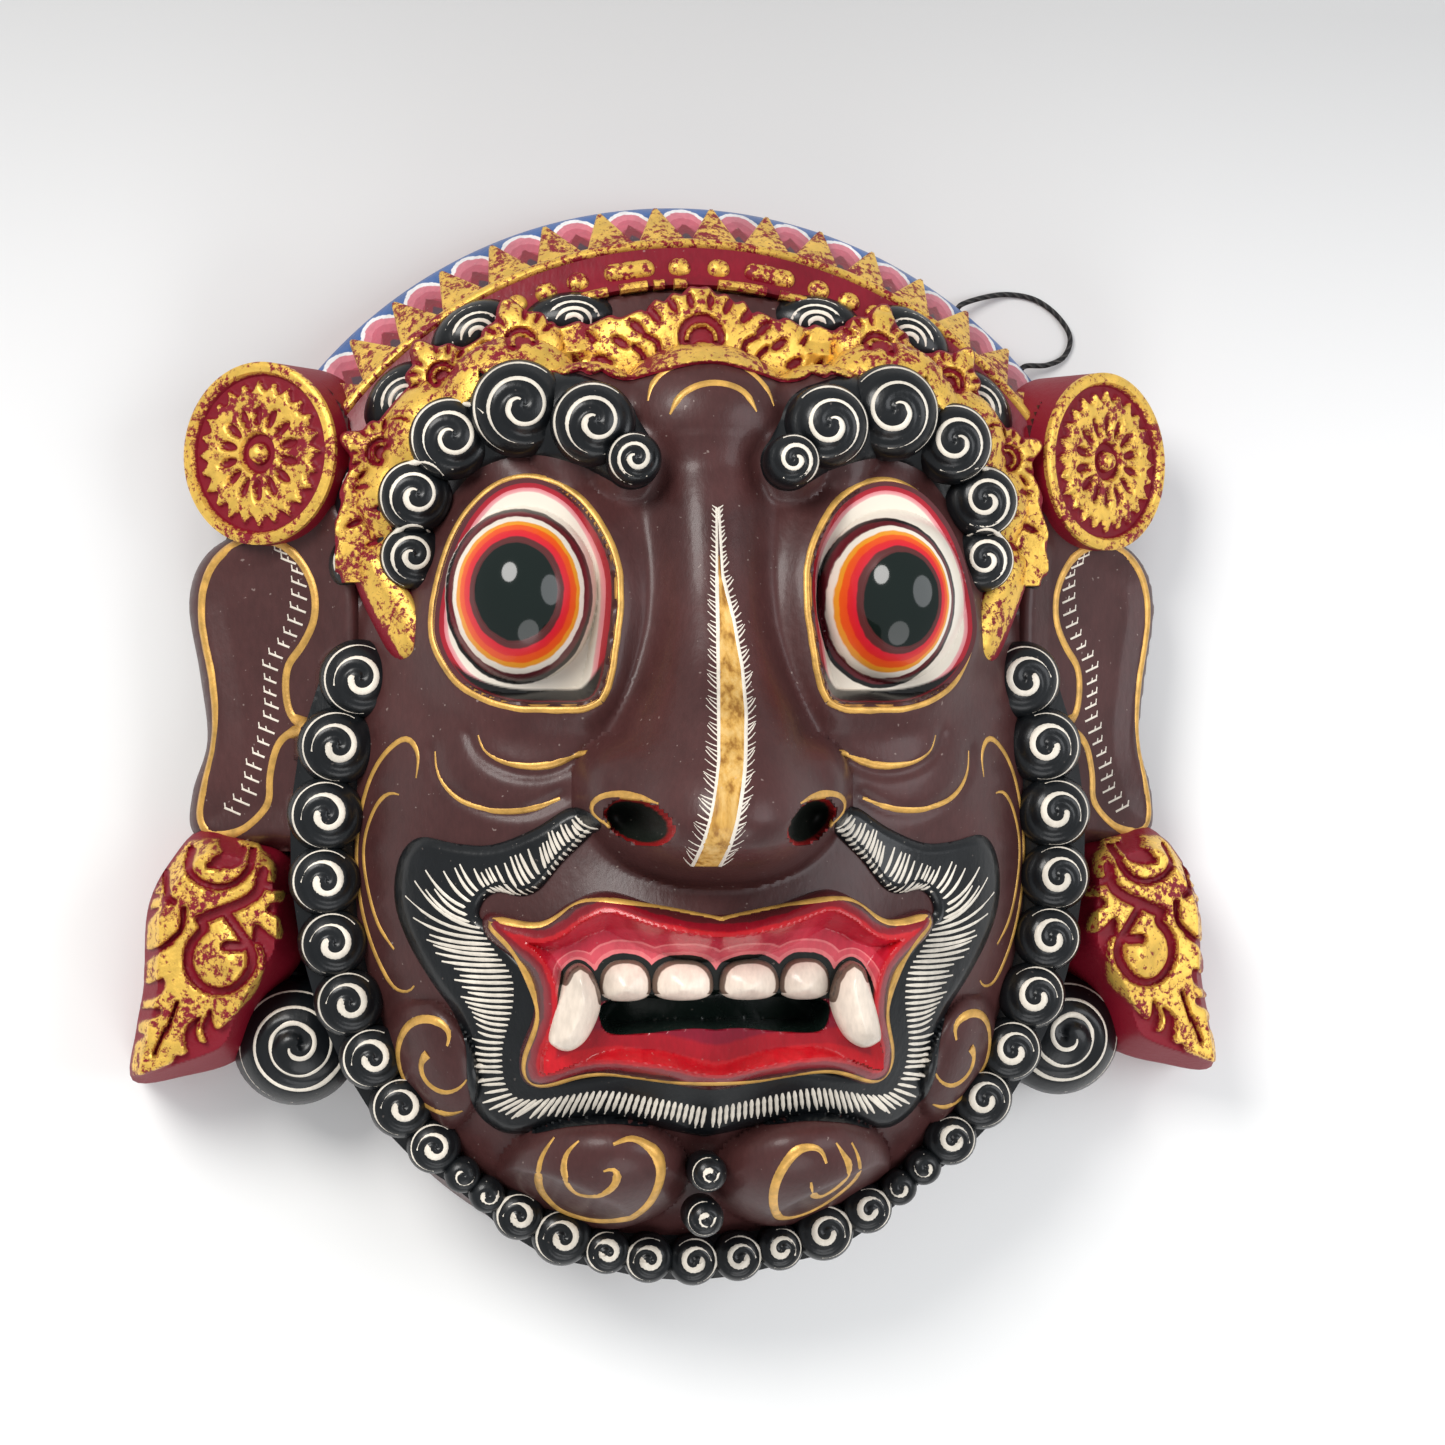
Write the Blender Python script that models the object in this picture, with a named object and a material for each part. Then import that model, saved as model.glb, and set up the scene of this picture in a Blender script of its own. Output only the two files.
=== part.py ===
"""Carved and painted wooden demon mask with a hanging cord, lying on its back rim.

The mask is one block of wood.  Its back rim is the plane z = 0, the face looks up (+Z), the
crown points to +Y and +X is the right side as seen.  Blender works in metres; the relief is
worked out in millimetres, as a carver would mark it, and turned into metres once, with MM.

The front is a height above the back plane: every carved form gives its own height field, and
the block keeps the highest of them.  The back is scooped out with a dome.
"""
import math

import bmesh
import bpy
import numpy as np

MM = 0.001

# Whole object, in millimetres
WIDTH = 300.0
HEIGHT = 297.0
CELL = 1.2
BELOW = -6.0
TRIANGLES = 8800

# Face mound
SKULL_TOP = 92.0
SKULL_REACH_X = 112.0
SKULL_REACH_Y = 150.0
SKULL_MIDDLE_Y = -8.0
JAW_MIDDLE_Y = -20.0
JAW_REACH_X = 112.0
JAW_REACH_Y = HEIGHT / 2 + JAW_MIDDLE_Y

# Crown: an arch around a point on the face
CROWN_MIDDLE_Y = 17.3
CROWN_RADIUS = HEIGHT / 2 - CROWN_MIDDLE_Y
CROWN_FOOT_Y = 28.0
CROWN_POINTS = 16
CROWN_POINT_STEP = math.radians(6.9)

# Ear discs, ears and leaf pendants
DISC_MIDDLE = (115.5, 77.0)
DISC_RADIUS = 24.5
DISC_LEAN = math.radians(35.0)
DISC_MIDDLE_Z = 38.0
DISC_THICKNESS = 22.0
EAR_INNER_Z = 46.0
EAR_SLOPE = 0.62
LEAF_MIDDLE_Z = 44.0

# Eyes and mouth
LID_RISE = 5.0
SOCKET_Z = 76.0
EYEBALL_MIDDLE = (48.5, 38.0)
EYEBALL_REACH = (20.5, 24.0)
EYEBALL_FOOT_Z = 72.0
EYEBALL_RISE = 28.0
MOUTH_MIDDLE_Y = -67.0
MOUTH_REACH = (44.0, 13.0)
MOUTH_FLOOR_Z = 78.0

# Hollow of the back
HOLLOW_MIDDLE_Y = -8.0
HOLLOW_REACH = (82.0, 119.0, 67.0)

# Hanging cord
CORD_DIAMETER = 1.5
CORD_GAP = 0.5
CORD_HEIGHT_AT_RIM = 4.5
CORD_ON_FLOOR = 0.85
CORD_START = math.radians(52.3)
CORD_END = math.radians(41.5)
CORD_POINTS = 56

# Outlines of the right half, in millimetres, corner by corner
EYE_OUTLINE = ((30, 11), (26, 27), (25, 42), (28, 53), (35, 63), (45, 68), (55, 66), (63, 58),
               (68, 47), (71, 33), (70, 24), (64, 15), (54, 10), (42, 9))
LIP_OUTLINE = ((0, -44), (14, -42), (28, -38), (37, -41), (45, -46), (57, -44), (58, -50),
               (48, -59), (46, -69), (49, -80), (48, -88), (42, -90), (30, -86), (16, -87),
               (0, -90))
MOUSTACHE_OUTLINE = ((0, -44), (16, -34), (31, -18), (41, -20), (52, -27), (63, -26), (77, -27),
                     (81, -34), (80, -46), (74, -58), (66, -70), (62, -84), (60, -97),
                     (51, -104), (38, -102), (24, -100), (10, -103), (0, -104))
EAR_OUTLINE = ((92, 60), (117, 57), (130, 51), (135, 38), (132, 18), (130, 0), (134, -14),
               (134, -25), (124, -29), (112, -28), (92, -24))
LEAF_OUTLINE = ((110, -27), (130, -24), (140, -33), (146, -46), (147, -66), (149, -78),
                (150, -92), (136, -91), (121, -86), (114, -72), (104, -58), (104, -38))


# Building blocks of a height field

def smooth_max(a, b, blend):
    """The higher of two fields, with a fillet of the given size where they meet."""
    near = np.maximum(blend - np.abs(a - b), 0.0) / blend
    return np.maximum(a, b) + near * near * blend / 4


def boss(x, y, middle, reach, foot, rise, turn=0.0):
    """A rounded boss: foot at its edge and foot + rise in its middle."""
    dx = x - middle[0]
    dy = y - middle[1]
    along = (dx * math.cos(turn) + dy * math.sin(turn)) / reach[0]
    across = (dy * math.cos(turn) - dx * math.sin(turn)) / reach[1]
    inside = 1.0 - along ** 2 - across ** 2
    return np.where(inside > 0, foot + rise * np.sqrt(np.maximum(inside, 0.0)), BELOW)


def swell(x, y, middle, reach):
    """A soft bump of height 1 that fades out over reach."""
    return np.exp(-((x - middle[0]) / reach[0]) ** 2 - ((y - middle[1]) / reach[1]) ** 2)


def curl(x, y, middle, radius, top):
    """A lock of hair rolled up into a snail: a boss with one spiral step in it."""
    dx = x - middle[0]
    dy = y - middle[1]
    distance = np.hypot(dx, dy)
    turns = distance / radius * 1.5 - np.arctan2(dy, dx) / (2 * math.pi)
    step = 0.16 * radius * (turns - np.floor(turns))
    body = boss(x, y, middle, (radius, radius), top - 0.95 * radius, 0.95 * radius)
    return np.where(distance < radius, body - step, BELOW)


def distance_to_path(x, y, path):
    """Distance of every grid point to a line of straight stretches."""
    nearest = np.full(x.shape, 1e6)
    for (ax, ay), (bx, by) in zip(path[:-1], path[1:]):
        length_squared = (bx - ax) ** 2 + (by - ay) ** 2
        t = np.clip(((x - ax) * (bx - ax) + (y - ay) * (by - ay)) / length_squared, 0, 1)
        nearest = np.minimum(nearest, np.hypot(x - ax - t * (bx - ax), y - ay - t * (by - ay)))
    return nearest


def rounded(corners, closed=True, steps=6):
    """A smooth curve through the corners (Catmull-Rom), as a list of points."""
    count = len(corners)
    points = []
    stretches = count if closed else count - 1
    for i in range(stretches):
        if closed:
            p = [corners[(i + k) % count] for k in (-1, 0, 1, 2)]
        else:
            p = [corners[min(max(i + k, 0), count - 1)] for k in (-1, 0, 1, 2)]
        for step in range(steps):
            t = step / steps
            points.append(tuple(
                0.5 * (2 * b + (c - a) * t + (2 * a - 5 * b + 4 * c - d) * t ** 2
                       + (3 * b - a - 3 * c + d) * t ** 3)
                for a, b, c, d in zip(*p)))
    points.append(points[0] if closed else corners[-1])
    return points


def depth_inside(x, y, outline):
    """Distance in from a closed outline: positive inside it and negative outside."""
    inside = np.zeros(x.shape, dtype=bool)
    for (ax, ay), (bx, by) in zip(outline[:-1], outline[1:]):
        if ay == by:
            continue
        crosses = (ay > y) != (by > y)
        inside ^= crosses & (x < ax + (y - ay) * (bx - ax) / (by - ay))
    edge = distance_to_path(x, y, outline)
    return np.where(inside, edge, -edge)


def across_the_middle(half):
    """A closed outline from its right half, whose two ends lie on x = 0."""
    left = [(-px, py) for px, py in reversed(half[1:-1])]
    return rounded(list(half) + left)


# Carved forms

def face_mound(x, y):
    """Forehead, cheeks and jaw as one mound, bounded by the jaw line."""
    reach = np.abs(x / SKULL_REACH_X) ** 2.6
    reach = reach + np.abs((y - SKULL_MIDDLE_Y) / SKULL_REACH_Y) ** 2.6
    mound = SKULL_TOP * np.maximum(1.0 - reach, 0.0) ** 0.75
    muzzle = 18.0 * swell(x, y, (0, -64), (50, 31))
    cheeks = 5.0 * (swell(x, y, (58, -8), (19, 17)) + swell(x, y, (-58, -8), (19, 17)))
    sides = 4.0 * (swell(x, y, (78, -40), (16, 26)) + swell(x, y, (-78, -40), (16, 26)))
    return np.where(reach < 1.0, mound + muzzle + cheeks + sides, BELOW)


def jaw_depth(x, y):
    """Distance in from the jaw line; above the ears nothing bounds the mound."""
    ratio = np.hypot(x / JAW_REACH_X, (y - JAW_MIDDLE_Y) / JAW_REACH_Y)
    depth = (1.0 - ratio) * JAW_REACH_X
    return np.where(y > 0.0, 60.0, depth)


def jaw_wall(x, y):
    """Wall that runs down from the cheeks and chin to the back rim."""
    depth = jaw_depth(x, y)
    return np.where(depth < 3.0, depth * 7.0, 21.0 + (depth - 3.0) * 3.0)


def nose(x, y):
    """Ridge from between the brows to a hooked tip, with a wing on each side."""
    ridge_y = (-40.0, -34.0, -29.0, -22.0, -12.0, 0.0, 20.0, 40.0, 62.0, 80.0)
    ridge_z = (88.0, 110.0, 127.0, 135.0, 133.0, 123.0, 108.0, 99.0, 93.0, 86.0)
    top = np.interp(y, ridge_y, ridge_z, left=BELOW, right=BELOW)
    half_width = np.interp(y, (-40.0, -20.0, 0.0, 30.0, 60.0), (18.0, 21.0, 20.0, 16.0, 17.0))
    field = top - 15.0 * (np.abs(x) / half_width) ** 2.4
    for side in (-1, 1):
        wing = boss(x, y, (side * 22.0, -12.0), (14.5, 15.0), 86.0, 26.0)
        field = smooth_max(field, wing, 9.0)
    return field


def eye_field(x, y, skin):
    """Lids, sunken socket and bulging ball of both eyes."""
    for side in (-1, 1):
        outline = rounded([(side * px, py) for px, py in EYE_OUTLINE])
        depth = depth_inside(x, y, outline)
        lid = LID_RISE * np.exp(-(np.minimum(depth, 0.0) / 6.0) ** 2)
        skin = skin + np.where(depth < 0, lid, 0.0)
        sunken = np.maximum(skin + LID_RISE - depth * 3.0, SOCKET_Z)
        skin = np.where(depth > 0, sunken, skin)
        middle = (side * EYEBALL_MIDDLE[0], EYEBALL_MIDDLE[1])
        ball = boss(x, y, middle, EYEBALL_REACH, EYEBALL_FOOT_Z, EYEBALL_RISE)
        skin = np.maximum(skin, ball)
    return skin


def mouth_field(x, y, skin):
    """Moustache band, thick lips, open mouth and the teeth in it."""
    band = depth_inside(x, y, across_the_middle(MOUSTACHE_OUTLINE))
    skin = skin + 2.5 * np.clip(band / 2.0, 0.0, 1.0)
    lips = depth_inside(x, y, across_the_middle(LIP_OUTLINE))
    rolled = 6.0 * np.sqrt(np.clip(1.0 - ((lips - 5.0) / 5.0) ** 2, 0.0, 1.0))
    inner = 6.0 - 1.3 * np.maximum(lips - 5.0, 0.0)
    skin = skin + np.where(lips > 0, np.where(lips < 5.0, rolled, inner), 0.0)
    gape = np.minimum(MOUTH_REACH[0] - np.abs(x), MOUTH_REACH[1] - np.abs(y - MOUTH_MIDDLE_Y))
    skin = np.where(gape > 0, np.maximum(skin - 6.0 * gape, MOUTH_FLOOR_Z), skin)
    gum = np.where((y > -58) & (y < -52) & (np.abs(x) < 40), 97.0 - 0.1 * np.abs(x), BELOW)
    skin = np.maximum(skin, gum)
    for tooth_x, tooth_top in ((-22.8, 98.0), (-7.7, 101.0), (7.7, 101.0), (22.8, 98.0)):
        tooth = boss(x, y, (tooth_x, -60.5), (7.2, 6.6), tooth_top - 9.0, 9.0)
        skin = np.maximum(skin, tooth)
    for side in (-1, 1):
        fang = boss(x, y, (side * 35.5, -68.0), (5.2, 11.0), 90.0, 11.0, side * 0.12)
        skin = np.maximum(skin, fang)
    return skin


def brow_curls(x, y, skin):
    """Brow ridges, and on each six rolled locks from the temple to the root of the nose."""
    curls = (
        (76.0, 48.5, 8.0, 66.0), (75.5, 64.0, 9.0, 69.0), (66.5, 79.0, 10.0, 74.0),
        (49.0, 86.5, 11.8, 81.0), (30.5, 82.0, 10.2, 89.0), (20.5, 72.5, 6.5, 93.0))
    field = skin
    for middle_x, middle_y, radius, top in curls:
        for side in (-1, 1):
            reach = (radius * 1.7, radius * 1.7)
            ridge = boss(x, y, (side * middle_x, middle_y), reach, top - 18.0, 12.0)
            field = smooth_max(field, ridge, 5.0)
    for middle_x, middle_y, radius, top in curls:
        for side in (-1, 1):
            field = np.maximum(field, curl(x, y, (side * middle_x, middle_y), radius, top))
    return field


def beard_chain():
    """Middles, radii and tops of the beard curls, walked along an arc around the jaw."""
    middle_y, reach_x, reach_y = -30.0, 99.0, 110.0
    radii = (9.4, 9.3, 9.0, 8.5, 8.2, 8.2, 7.8, 7.6, 6.4, 4.3, 4.3, 6.0, 7.2, 5.6, 6.0, 6.2)
    angle = math.radians(25.0)
    curls = []
    for i, radius in enumerate(radii):
        px = reach_x * math.cos(angle)
        py = middle_y + reach_y * math.sin(angle)
        top = 57.0 - 6.0 * (i / (len(radii) - 1)) ** 2
        curls.append((px, py, radius, top))
        if i + 1 < len(radii):
            stride = radius + radii[i + 1]
            speed = math.hypot(reach_x * math.sin(angle), reach_y * math.cos(angle))
            angle -= stride / speed
    return curls


def beard_curls(x, y):
    """Rolled locks from ear to ear around the jaw, and two under the lip."""
    field = np.full(x.shape, BELOW)
    for middle_x, middle_y, radius, top in beard_chain():
        for side in (-1, 1):
            field = np.maximum(field, curl(x, y, (side * middle_x, middle_y), radius, top))
    for middle_y, top in ((-112.0, 80.0), (-125.0, 72.0)):
        field = np.maximum(field, curl(x, y, (0.0, middle_y), 5.2, top))
    return field


def ear_curls(x, y):
    """One large rolled lock under each ear, behind the leaf pendant."""
    right = np.abs(x)
    field = curl(right, y, (106.0, -82.0), 17.5, 38.0)
    wall = (17.5 - np.hypot(right - 106.0, y + 82.0)) * 10.0
    return np.minimum(field, wall)


def chin_and_cheek_bosses(x, y, skin):
    """Smooth round bosses that stand out of the skin: two on the chin, one low on each cheek."""
    for side in (-1, 1):
        chin = boss(x, y, (side * 28.0, -115.0), (25.0, 17.0), 0.0, 22.0)
        cheek = boss(x, y, (side * 71.0, -86.0), (11.5, 18.5), 0.0, 9.0, side * -0.25)
        skin = skin + np.maximum(np.maximum(chin, cheek), 0.0)
    return skin


def crown(x, y):
    """Stepped arch over the head: scalloped rim, points, rope, bead band and hair strip."""
    radius = np.hypot(x, y - CROWN_MIDDLE_Y)
    angle = np.arctan2(x, y - CROWN_MIDDLE_Y)
    steps_r = (80.0, 85.0, 96.0, 103.0, 104.5, 106.0, 113.0, 113.5, 116.0, 117.0, 129.0)
    steps_z = (40.0, 58.0, 53.0, 50.0, 51.5, 48.0, 45.0, 47.0, 46.0, 40.0, 18.0)
    field = np.interp(radius, steps_r, steps_z)
    field = np.where(radius < 80.0, BELOW, field)
    slot = angle / CROWN_POINT_STEP
    slot = np.abs(slot - np.floor(slot) - 0.5) * 2.0
    climb = np.clip((129.0 - radius) / 12.0, 0.0, 1.0)
    point = (radius > 117.0) & (slot < climb) & (np.abs(angle) < CROWN_POINT_STEP * CROWN_POINTS / 2)
    field = field + np.where(point, 2.6, 0.0)
    rim = (CROWN_RADIUS - radius) * 8.0
    side = (y - CROWN_FOOT_Y) * 6.0
    return np.minimum(np.minimum(field, rim), side)


def diadem(x, y):
    """Gilt band above the brows with a fan-shaped crest and smaller crests beside it."""
    band = rounded(((0, 99), (24, 99), (48, 99), (68, 89), (83, 68), (90, 46)), closed=False)
    away = distance_to_path(np.abs(x), y, band)
    field = np.where(away < 6.5, 60.0 + 4.0 * (1.0 - away / 6.5) - 0.14 * np.abs(x), BELOW)
    crest = boss(x, y, (0, 103), (24.0, 17.0), 58.0, 9.0)
    field = np.maximum(field, crest)
    for middle, radius, top in (((48, 105), 10.0, 63.0), ((69, 94), 9.0, 59.0), ((80, 78), 7.0, 57.0)):
        for side in (-1, 1):
            unit = boss(x, y, (side * middle[0], middle[1]), (radius, radius * 1.2), top - 7.0, 7.0)
            field = np.maximum(field, unit)
    return field


def hair_tufts(x, y):
    """Swollen locks between the bead band and the gilt diadem."""
    field = np.full(x.shape, BELOW)
    tufts = ((34, 113, 13, 7.5, 0.1), (60, 109, 12, 8, -0.5), (79, 89, 12, 8, -0.9),
             (88, 66, 12, 7, -1.2), (93, 44, 10, 6, -1.4))
    for px, py, length, width, turn in tufts:
        for side in (-1, 1):
            tuft = boss(x, y, (side * px, py), (length, width), 46.0, 10.0, side * turn)
            field = np.maximum(field, tuft)
    return field


def ear_disc(x, y):
    """Round drums above the ears, leaning outwards, with a raised flower."""
    right = np.abs(x)
    field = np.full(x.shape, BELOW)
    for depth in np.linspace(0.0, DISC_THICKNESS, 9):
        middle_x = DISC_MIDDLE[0] - depth * math.sin(DISC_LEAN)
        middle_z = DISC_MIDDLE_Z - depth * math.cos(DISC_LEAN)
        u = (right - middle_x) / (DISC_RADIUS * math.cos(DISC_LEAN))
        v = (y - DISC_MIDDLE[1]) / DISC_RADIUS
        ratio = np.hypot(u, v)
        plane = middle_z - (right - middle_x) * math.tan(DISC_LEAN)
        flower = np.interp(ratio, (0.0, 0.2, 0.25, 0.7, 0.75, 0.9, 1.0), (4, 4, 2.5, 2, 0.6, 0.6, 0))
        wall = (1.0 - ratio) * DISC_RADIUS * 12.0
        field = np.maximum(field, np.minimum(plane + (flower if depth == 0.0 else 0.0), wall))
    return field


def ears(x, y):
    """Long ear lobes that slope outwards, with a rolled edge."""
    right = np.abs(x)
    depth = depth_inside(right, y, rounded(EAR_OUTLINE))
    slope = EAR_INNER_Z - (right - 97.0) * EAR_SLOPE
    rolled = slope + 1.6 * np.exp(-((depth - 3.0) / 2.0) ** 2)
    return np.minimum(rolled, depth * 6.0)


def leaf_pendants(x, y):
    """Leaf-shaped pendants under the ears, with a rolled bud in the middle."""
    right = np.abs(x)
    depth = depth_inside(right, y, rounded(LEAF_OUTLINE))
    slope = LEAF_MIDDLE_Z + 6.0 - (right - 112.0) * 0.45
    body = np.minimum(slope, 18.0 + depth * 3.5)
    body = np.minimum(body, depth * 8.0)
    bud = boss(right, y, (126.0, -60.0), (9.0, 14.0), 43.0, 5.0, -0.35)
    crescent = boss(right, y, (123.0, -38.0), (11.0, 8.0), 46.0, 4.5)
    return np.maximum(body, np.maximum(bud, crescent))


def front_height(x, y):
    """Height of the carved front over the back plane, in millimetres."""
    skin = face_mound(x, y)
    skin = smooth_max(skin, boss(x, y, (0, 84), (25, 21), 66.0, 24.0), 8.0)
    skin = brow_curls(x, y, skin)
    skin = eye_field(x, y, skin)
    skin = mouth_field(x, y, skin)
    skin = chin_and_cheek_bosses(x, y, skin)
    skin = smooth_max(skin, nose(x, y), 6.0)
    for side in (-1, 1):
        nostril = boss(x, y, (side * 20.0, -25.0), (7.0, 4.5), 0.0, 16.0, side * -0.3)
        skin = skin - np.maximum(nostril, 0.0)
    skin = np.minimum(skin, jaw_wall(x, y))
    skin = np.where(skin < 4.0, BELOW, skin)
    field = np.maximum(skin, np.minimum(beard_curls(x, y), jaw_depth(x, y) * 10.0))
    for form in (crown, diadem, hair_tufts, ear_disc, ears, leaf_pendants, ear_curls):
        field = np.maximum(field, form(x, y))
    return np.maximum(field, BELOW)


# Turning the fields into solids

def material(name, colour, roughness):
    """A plain Principled material."""
    finish = bpy.data.materials.new(name)
    finish.use_nodes = True
    shader = finish.node_tree.nodes["Principled BSDF"]
    shader.inputs["Base Color"].default_value = (*colour, 1.0)
    shader.inputs["Roughness"].default_value = roughness
    finish.diffuse_color = (*colour, 1.0)
    return finish


def collection(name):
    """A new collection in the scene."""
    group = bpy.data.collections.new(name)
    bpy.context.scene.collection.children.link(group)
    return group


def add_object(name, mesh, group):
    """An object for a mesh or curve, in its collection."""
    thing = bpy.data.objects.new(name, mesh)
    group.objects.link(thing)
    return thing


def carved_block():
    """The front relief on a solid block with a flat back at z = 0."""
    bm = bmesh.new()
    columns = round((WIDTH + 12.0) / CELL)
    bmesh.ops.create_grid(bm, x_segments=columns, y_segments=columns,
                          size=columns * CELL / 2 * MM)
    bm.verts.ensure_lookup_table()
    flat = np.array([vert.co[:2] for vert in bm.verts]) / MM
    heights = front_height(flat[:, 0], flat[:, 1])
    for vert, height in zip(bm.verts, heights):
        vert.co.z = height * MM
    geometry = bm.verts[:] + bm.edges[:] + bm.faces[:]
    bmesh.ops.bisect_plane(bm, geom=geometry, plane_co=(0, 0, 0), plane_no=(0, 0, 1),
                           dist=1e-7, clear_inner=True)
    rim = [edge for edge in bm.edges if edge.is_boundary]
    bmesh.ops.holes_fill(bm, edges=rim, sides=0)
    bmesh.ops.triangulate(bm, faces=bm.faces[:])
    bmesh.ops.recalc_face_normals(bm, faces=bm.faces[:])
    mesh = bpy.data.meshes.new("mask")
    bm.to_mesh(mesh)
    bm.free()
    return mesh


def hollow_cutter(group):
    """The dome that the carver scoops out of the back."""
    bm = bmesh.new()
    bmesh.ops.create_uvsphere(bm, u_segments=40, v_segments=20, radius=1.0)
    reach_x, reach_y, reach_z = HOLLOW_REACH
    bmesh.ops.scale(bm, vec=(reach_x * MM, reach_y * MM, reach_z * MM), verts=bm.verts[:])
    bmesh.ops.translate(bm, vec=(0.0, HOLLOW_MIDDLE_Y * MM, 0.0), verts=bm.verts[:])
    mesh = bpy.data.meshes.new("hollow_cutter")
    bm.to_mesh(mesh)
    bm.free()
    cutter = add_object("hollow_cutter", mesh, group)
    cutter.hide_render = True
    cutter.display_type = "WIRE"
    return cutter


def make_mask(group, cutters):
    """The mask: carved block, hollowed at the back, in facets a carver's gouge would leave."""
    mask = add_object("mask", carved_block(), group)
    hollow = mask.modifiers.new("hollow", "BOOLEAN")
    hollow.operation = "DIFFERENCE"
    hollow.solver = "EXACT"
    hollow.object = hollow_cutter(cutters)
    facets = mask.modifiers.new("facets", "DECIMATE")
    facets.ratio = TRIANGLES / len(mask.data.polygons)
    mask.data.materials.append(material("brown_skin", (0.098, 0.037, 0.034), 0.35))
    return mask


def cord_route():
    """Points of the hanging cord: out of the rim, down to the floor, round and back in."""
    wall = CROWN_RADIUS + 0.2 + CORD_GAP

    def beside_rim(angle, out, height):
        reach = wall + out
        return (reach * math.cos(angle), CROWN_MIDDLE_Y + reach * math.sin(angle), height)

    low = CORD_ON_FLOOR
    hand = (beside_rim(CORD_START, 0.0, CORD_HEIGHT_AT_RIM),
            beside_rim(CORD_START, 3.0, CORD_HEIGHT_AT_RIM - 0.6),
            (90.0, 126.5, 2.2), (97.0, 127.4, low), (104.5, 126.0, low), (110.8, 121.6, low),
            (114.6, 115.6, low), (113.0, 110.0, low), (107.5, 107.2, 2.2),
            beside_rim(CORD_END, 3.0, CORD_HEIGHT_AT_RIM - 0.6),
            beside_rim(CORD_END, 0.0, CORD_HEIGHT_AT_RIM))
    fine = np.array(rounded(hand, closed=False, steps=16))
    walked = np.concatenate(([0.0], np.cumsum(np.linalg.norm(np.diff(fine, axis=0), axis=1))))
    wanted = np.linspace(0.0, walked[-1], CORD_POINTS)
    return np.stack([np.interp(wanted, walked, fine[:, axis]) for axis in range(3)], axis=1)


def make_cord(group):
    """The hanging cord as one thin tube."""
    points = cord_route() * MM
    curve = bpy.data.curves.new("hanging_cord", "CURVE")
    curve.dimensions = "3D"
    spline = curve.splines.new("POLY")
    spline.points.add(len(points) - 1)
    for target, point in zip(spline.points, points):
        target.co = (*point, 1.0)
    curve.bevel_depth = CORD_DIAMETER / 2 * MM
    curve.bevel_resolution = 2
    curve.use_fill_caps = True
    cord = add_object("hanging_cord", curve, group)
    curve.materials.append(material("black_cord", (0.02, 0.02, 0.022), 0.8))
    return cord


def main():
    for thing in list(bpy.data.objects):
        bpy.data.objects.remove(thing, do_unlink=True)
    parts = collection("demon_mask")
    cutters = collection("cutters")
    mask = make_mask(parts, cutters)
    cord = make_cord(parts)
    return mask, cord


main()
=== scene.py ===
# %% [markdown]
# # A carved and painted demon mask
# The mask lies on its back rim and the camera looks down on it.  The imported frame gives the
# solid that every visible piece has to follow.  All shapes are worked out in millimetres, as a
# carver marks them on the block, and become metres once, with MM, when a mesh is written.

# %% Frame and imports
import math

import bmesh
import bpy
import numpy as np
from mathutils import Matrix, Vector
from mathutils.bvhtree import BVHTree
from mathutils.geometry import delaunay_2d_cdt


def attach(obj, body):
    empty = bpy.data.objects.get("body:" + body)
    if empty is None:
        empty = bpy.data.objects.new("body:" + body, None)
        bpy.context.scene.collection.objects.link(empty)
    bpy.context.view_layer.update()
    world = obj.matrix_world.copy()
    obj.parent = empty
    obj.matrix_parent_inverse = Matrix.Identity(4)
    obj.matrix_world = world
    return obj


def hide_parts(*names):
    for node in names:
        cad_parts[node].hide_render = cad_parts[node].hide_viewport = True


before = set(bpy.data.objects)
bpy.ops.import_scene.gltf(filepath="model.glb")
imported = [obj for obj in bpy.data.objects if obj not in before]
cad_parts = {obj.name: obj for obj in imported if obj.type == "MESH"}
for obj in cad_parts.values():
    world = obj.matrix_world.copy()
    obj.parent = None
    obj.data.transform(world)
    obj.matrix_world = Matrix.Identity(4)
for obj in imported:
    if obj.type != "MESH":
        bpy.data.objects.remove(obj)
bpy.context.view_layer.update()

MM = 0.001

# %% [markdown]
# ## Camera
# The photograph was taken from about a metre away, some 7 degrees to the left of the mask's
# axis.  A lens and a place worked out from that keep the same perspective: near forms, such as
# the nose, shift against the rim as they do in the picture.

# %% Camera
CAMERA_AIM = (9.0, 4.9, 40.0)
CAMERA_DISTANCE = 960.0
CAMERA_LEAN = math.radians(7.4)
CAMERA_LENS = 87.9

camera_data = bpy.data.cameras.new("camera")
camera_data.lens = CAMERA_LENS
camera_data.sensor_width = 36.0
camera_data.clip_start = 0.05
camera = bpy.data.objects.new("camera", camera_data)
bpy.context.scene.collection.objects.link(camera)
back = Vector((-math.sin(CAMERA_LEAN), 0.0, math.cos(CAMERA_LEAN)))
side = Vector((math.cos(CAMERA_LEAN), 0.0, math.sin(CAMERA_LEAN)))
turned = Matrix((side, (0.0, 1.0, 0.0), back)).transposed().to_4x4()
place = (Vector(CAMERA_AIM) + back * CAMERA_DISTANCE) * MM
camera.matrix_world = Matrix.Translation(place) @ turned
bpy.context.scene.camera = camera
print("camera at", [round(v, 3) for v in camera.location])

# %% [markdown]
# ## Materials
# Paint on a carved mask is never one flat colour: the brush leaves lighter and darker strokes,
# the gloss changes over worn places, and dust settles in it.  One helper makes such a painted
# finish from a colour, a gloss and a few sizes, all on the piece's own coordinates.

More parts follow.
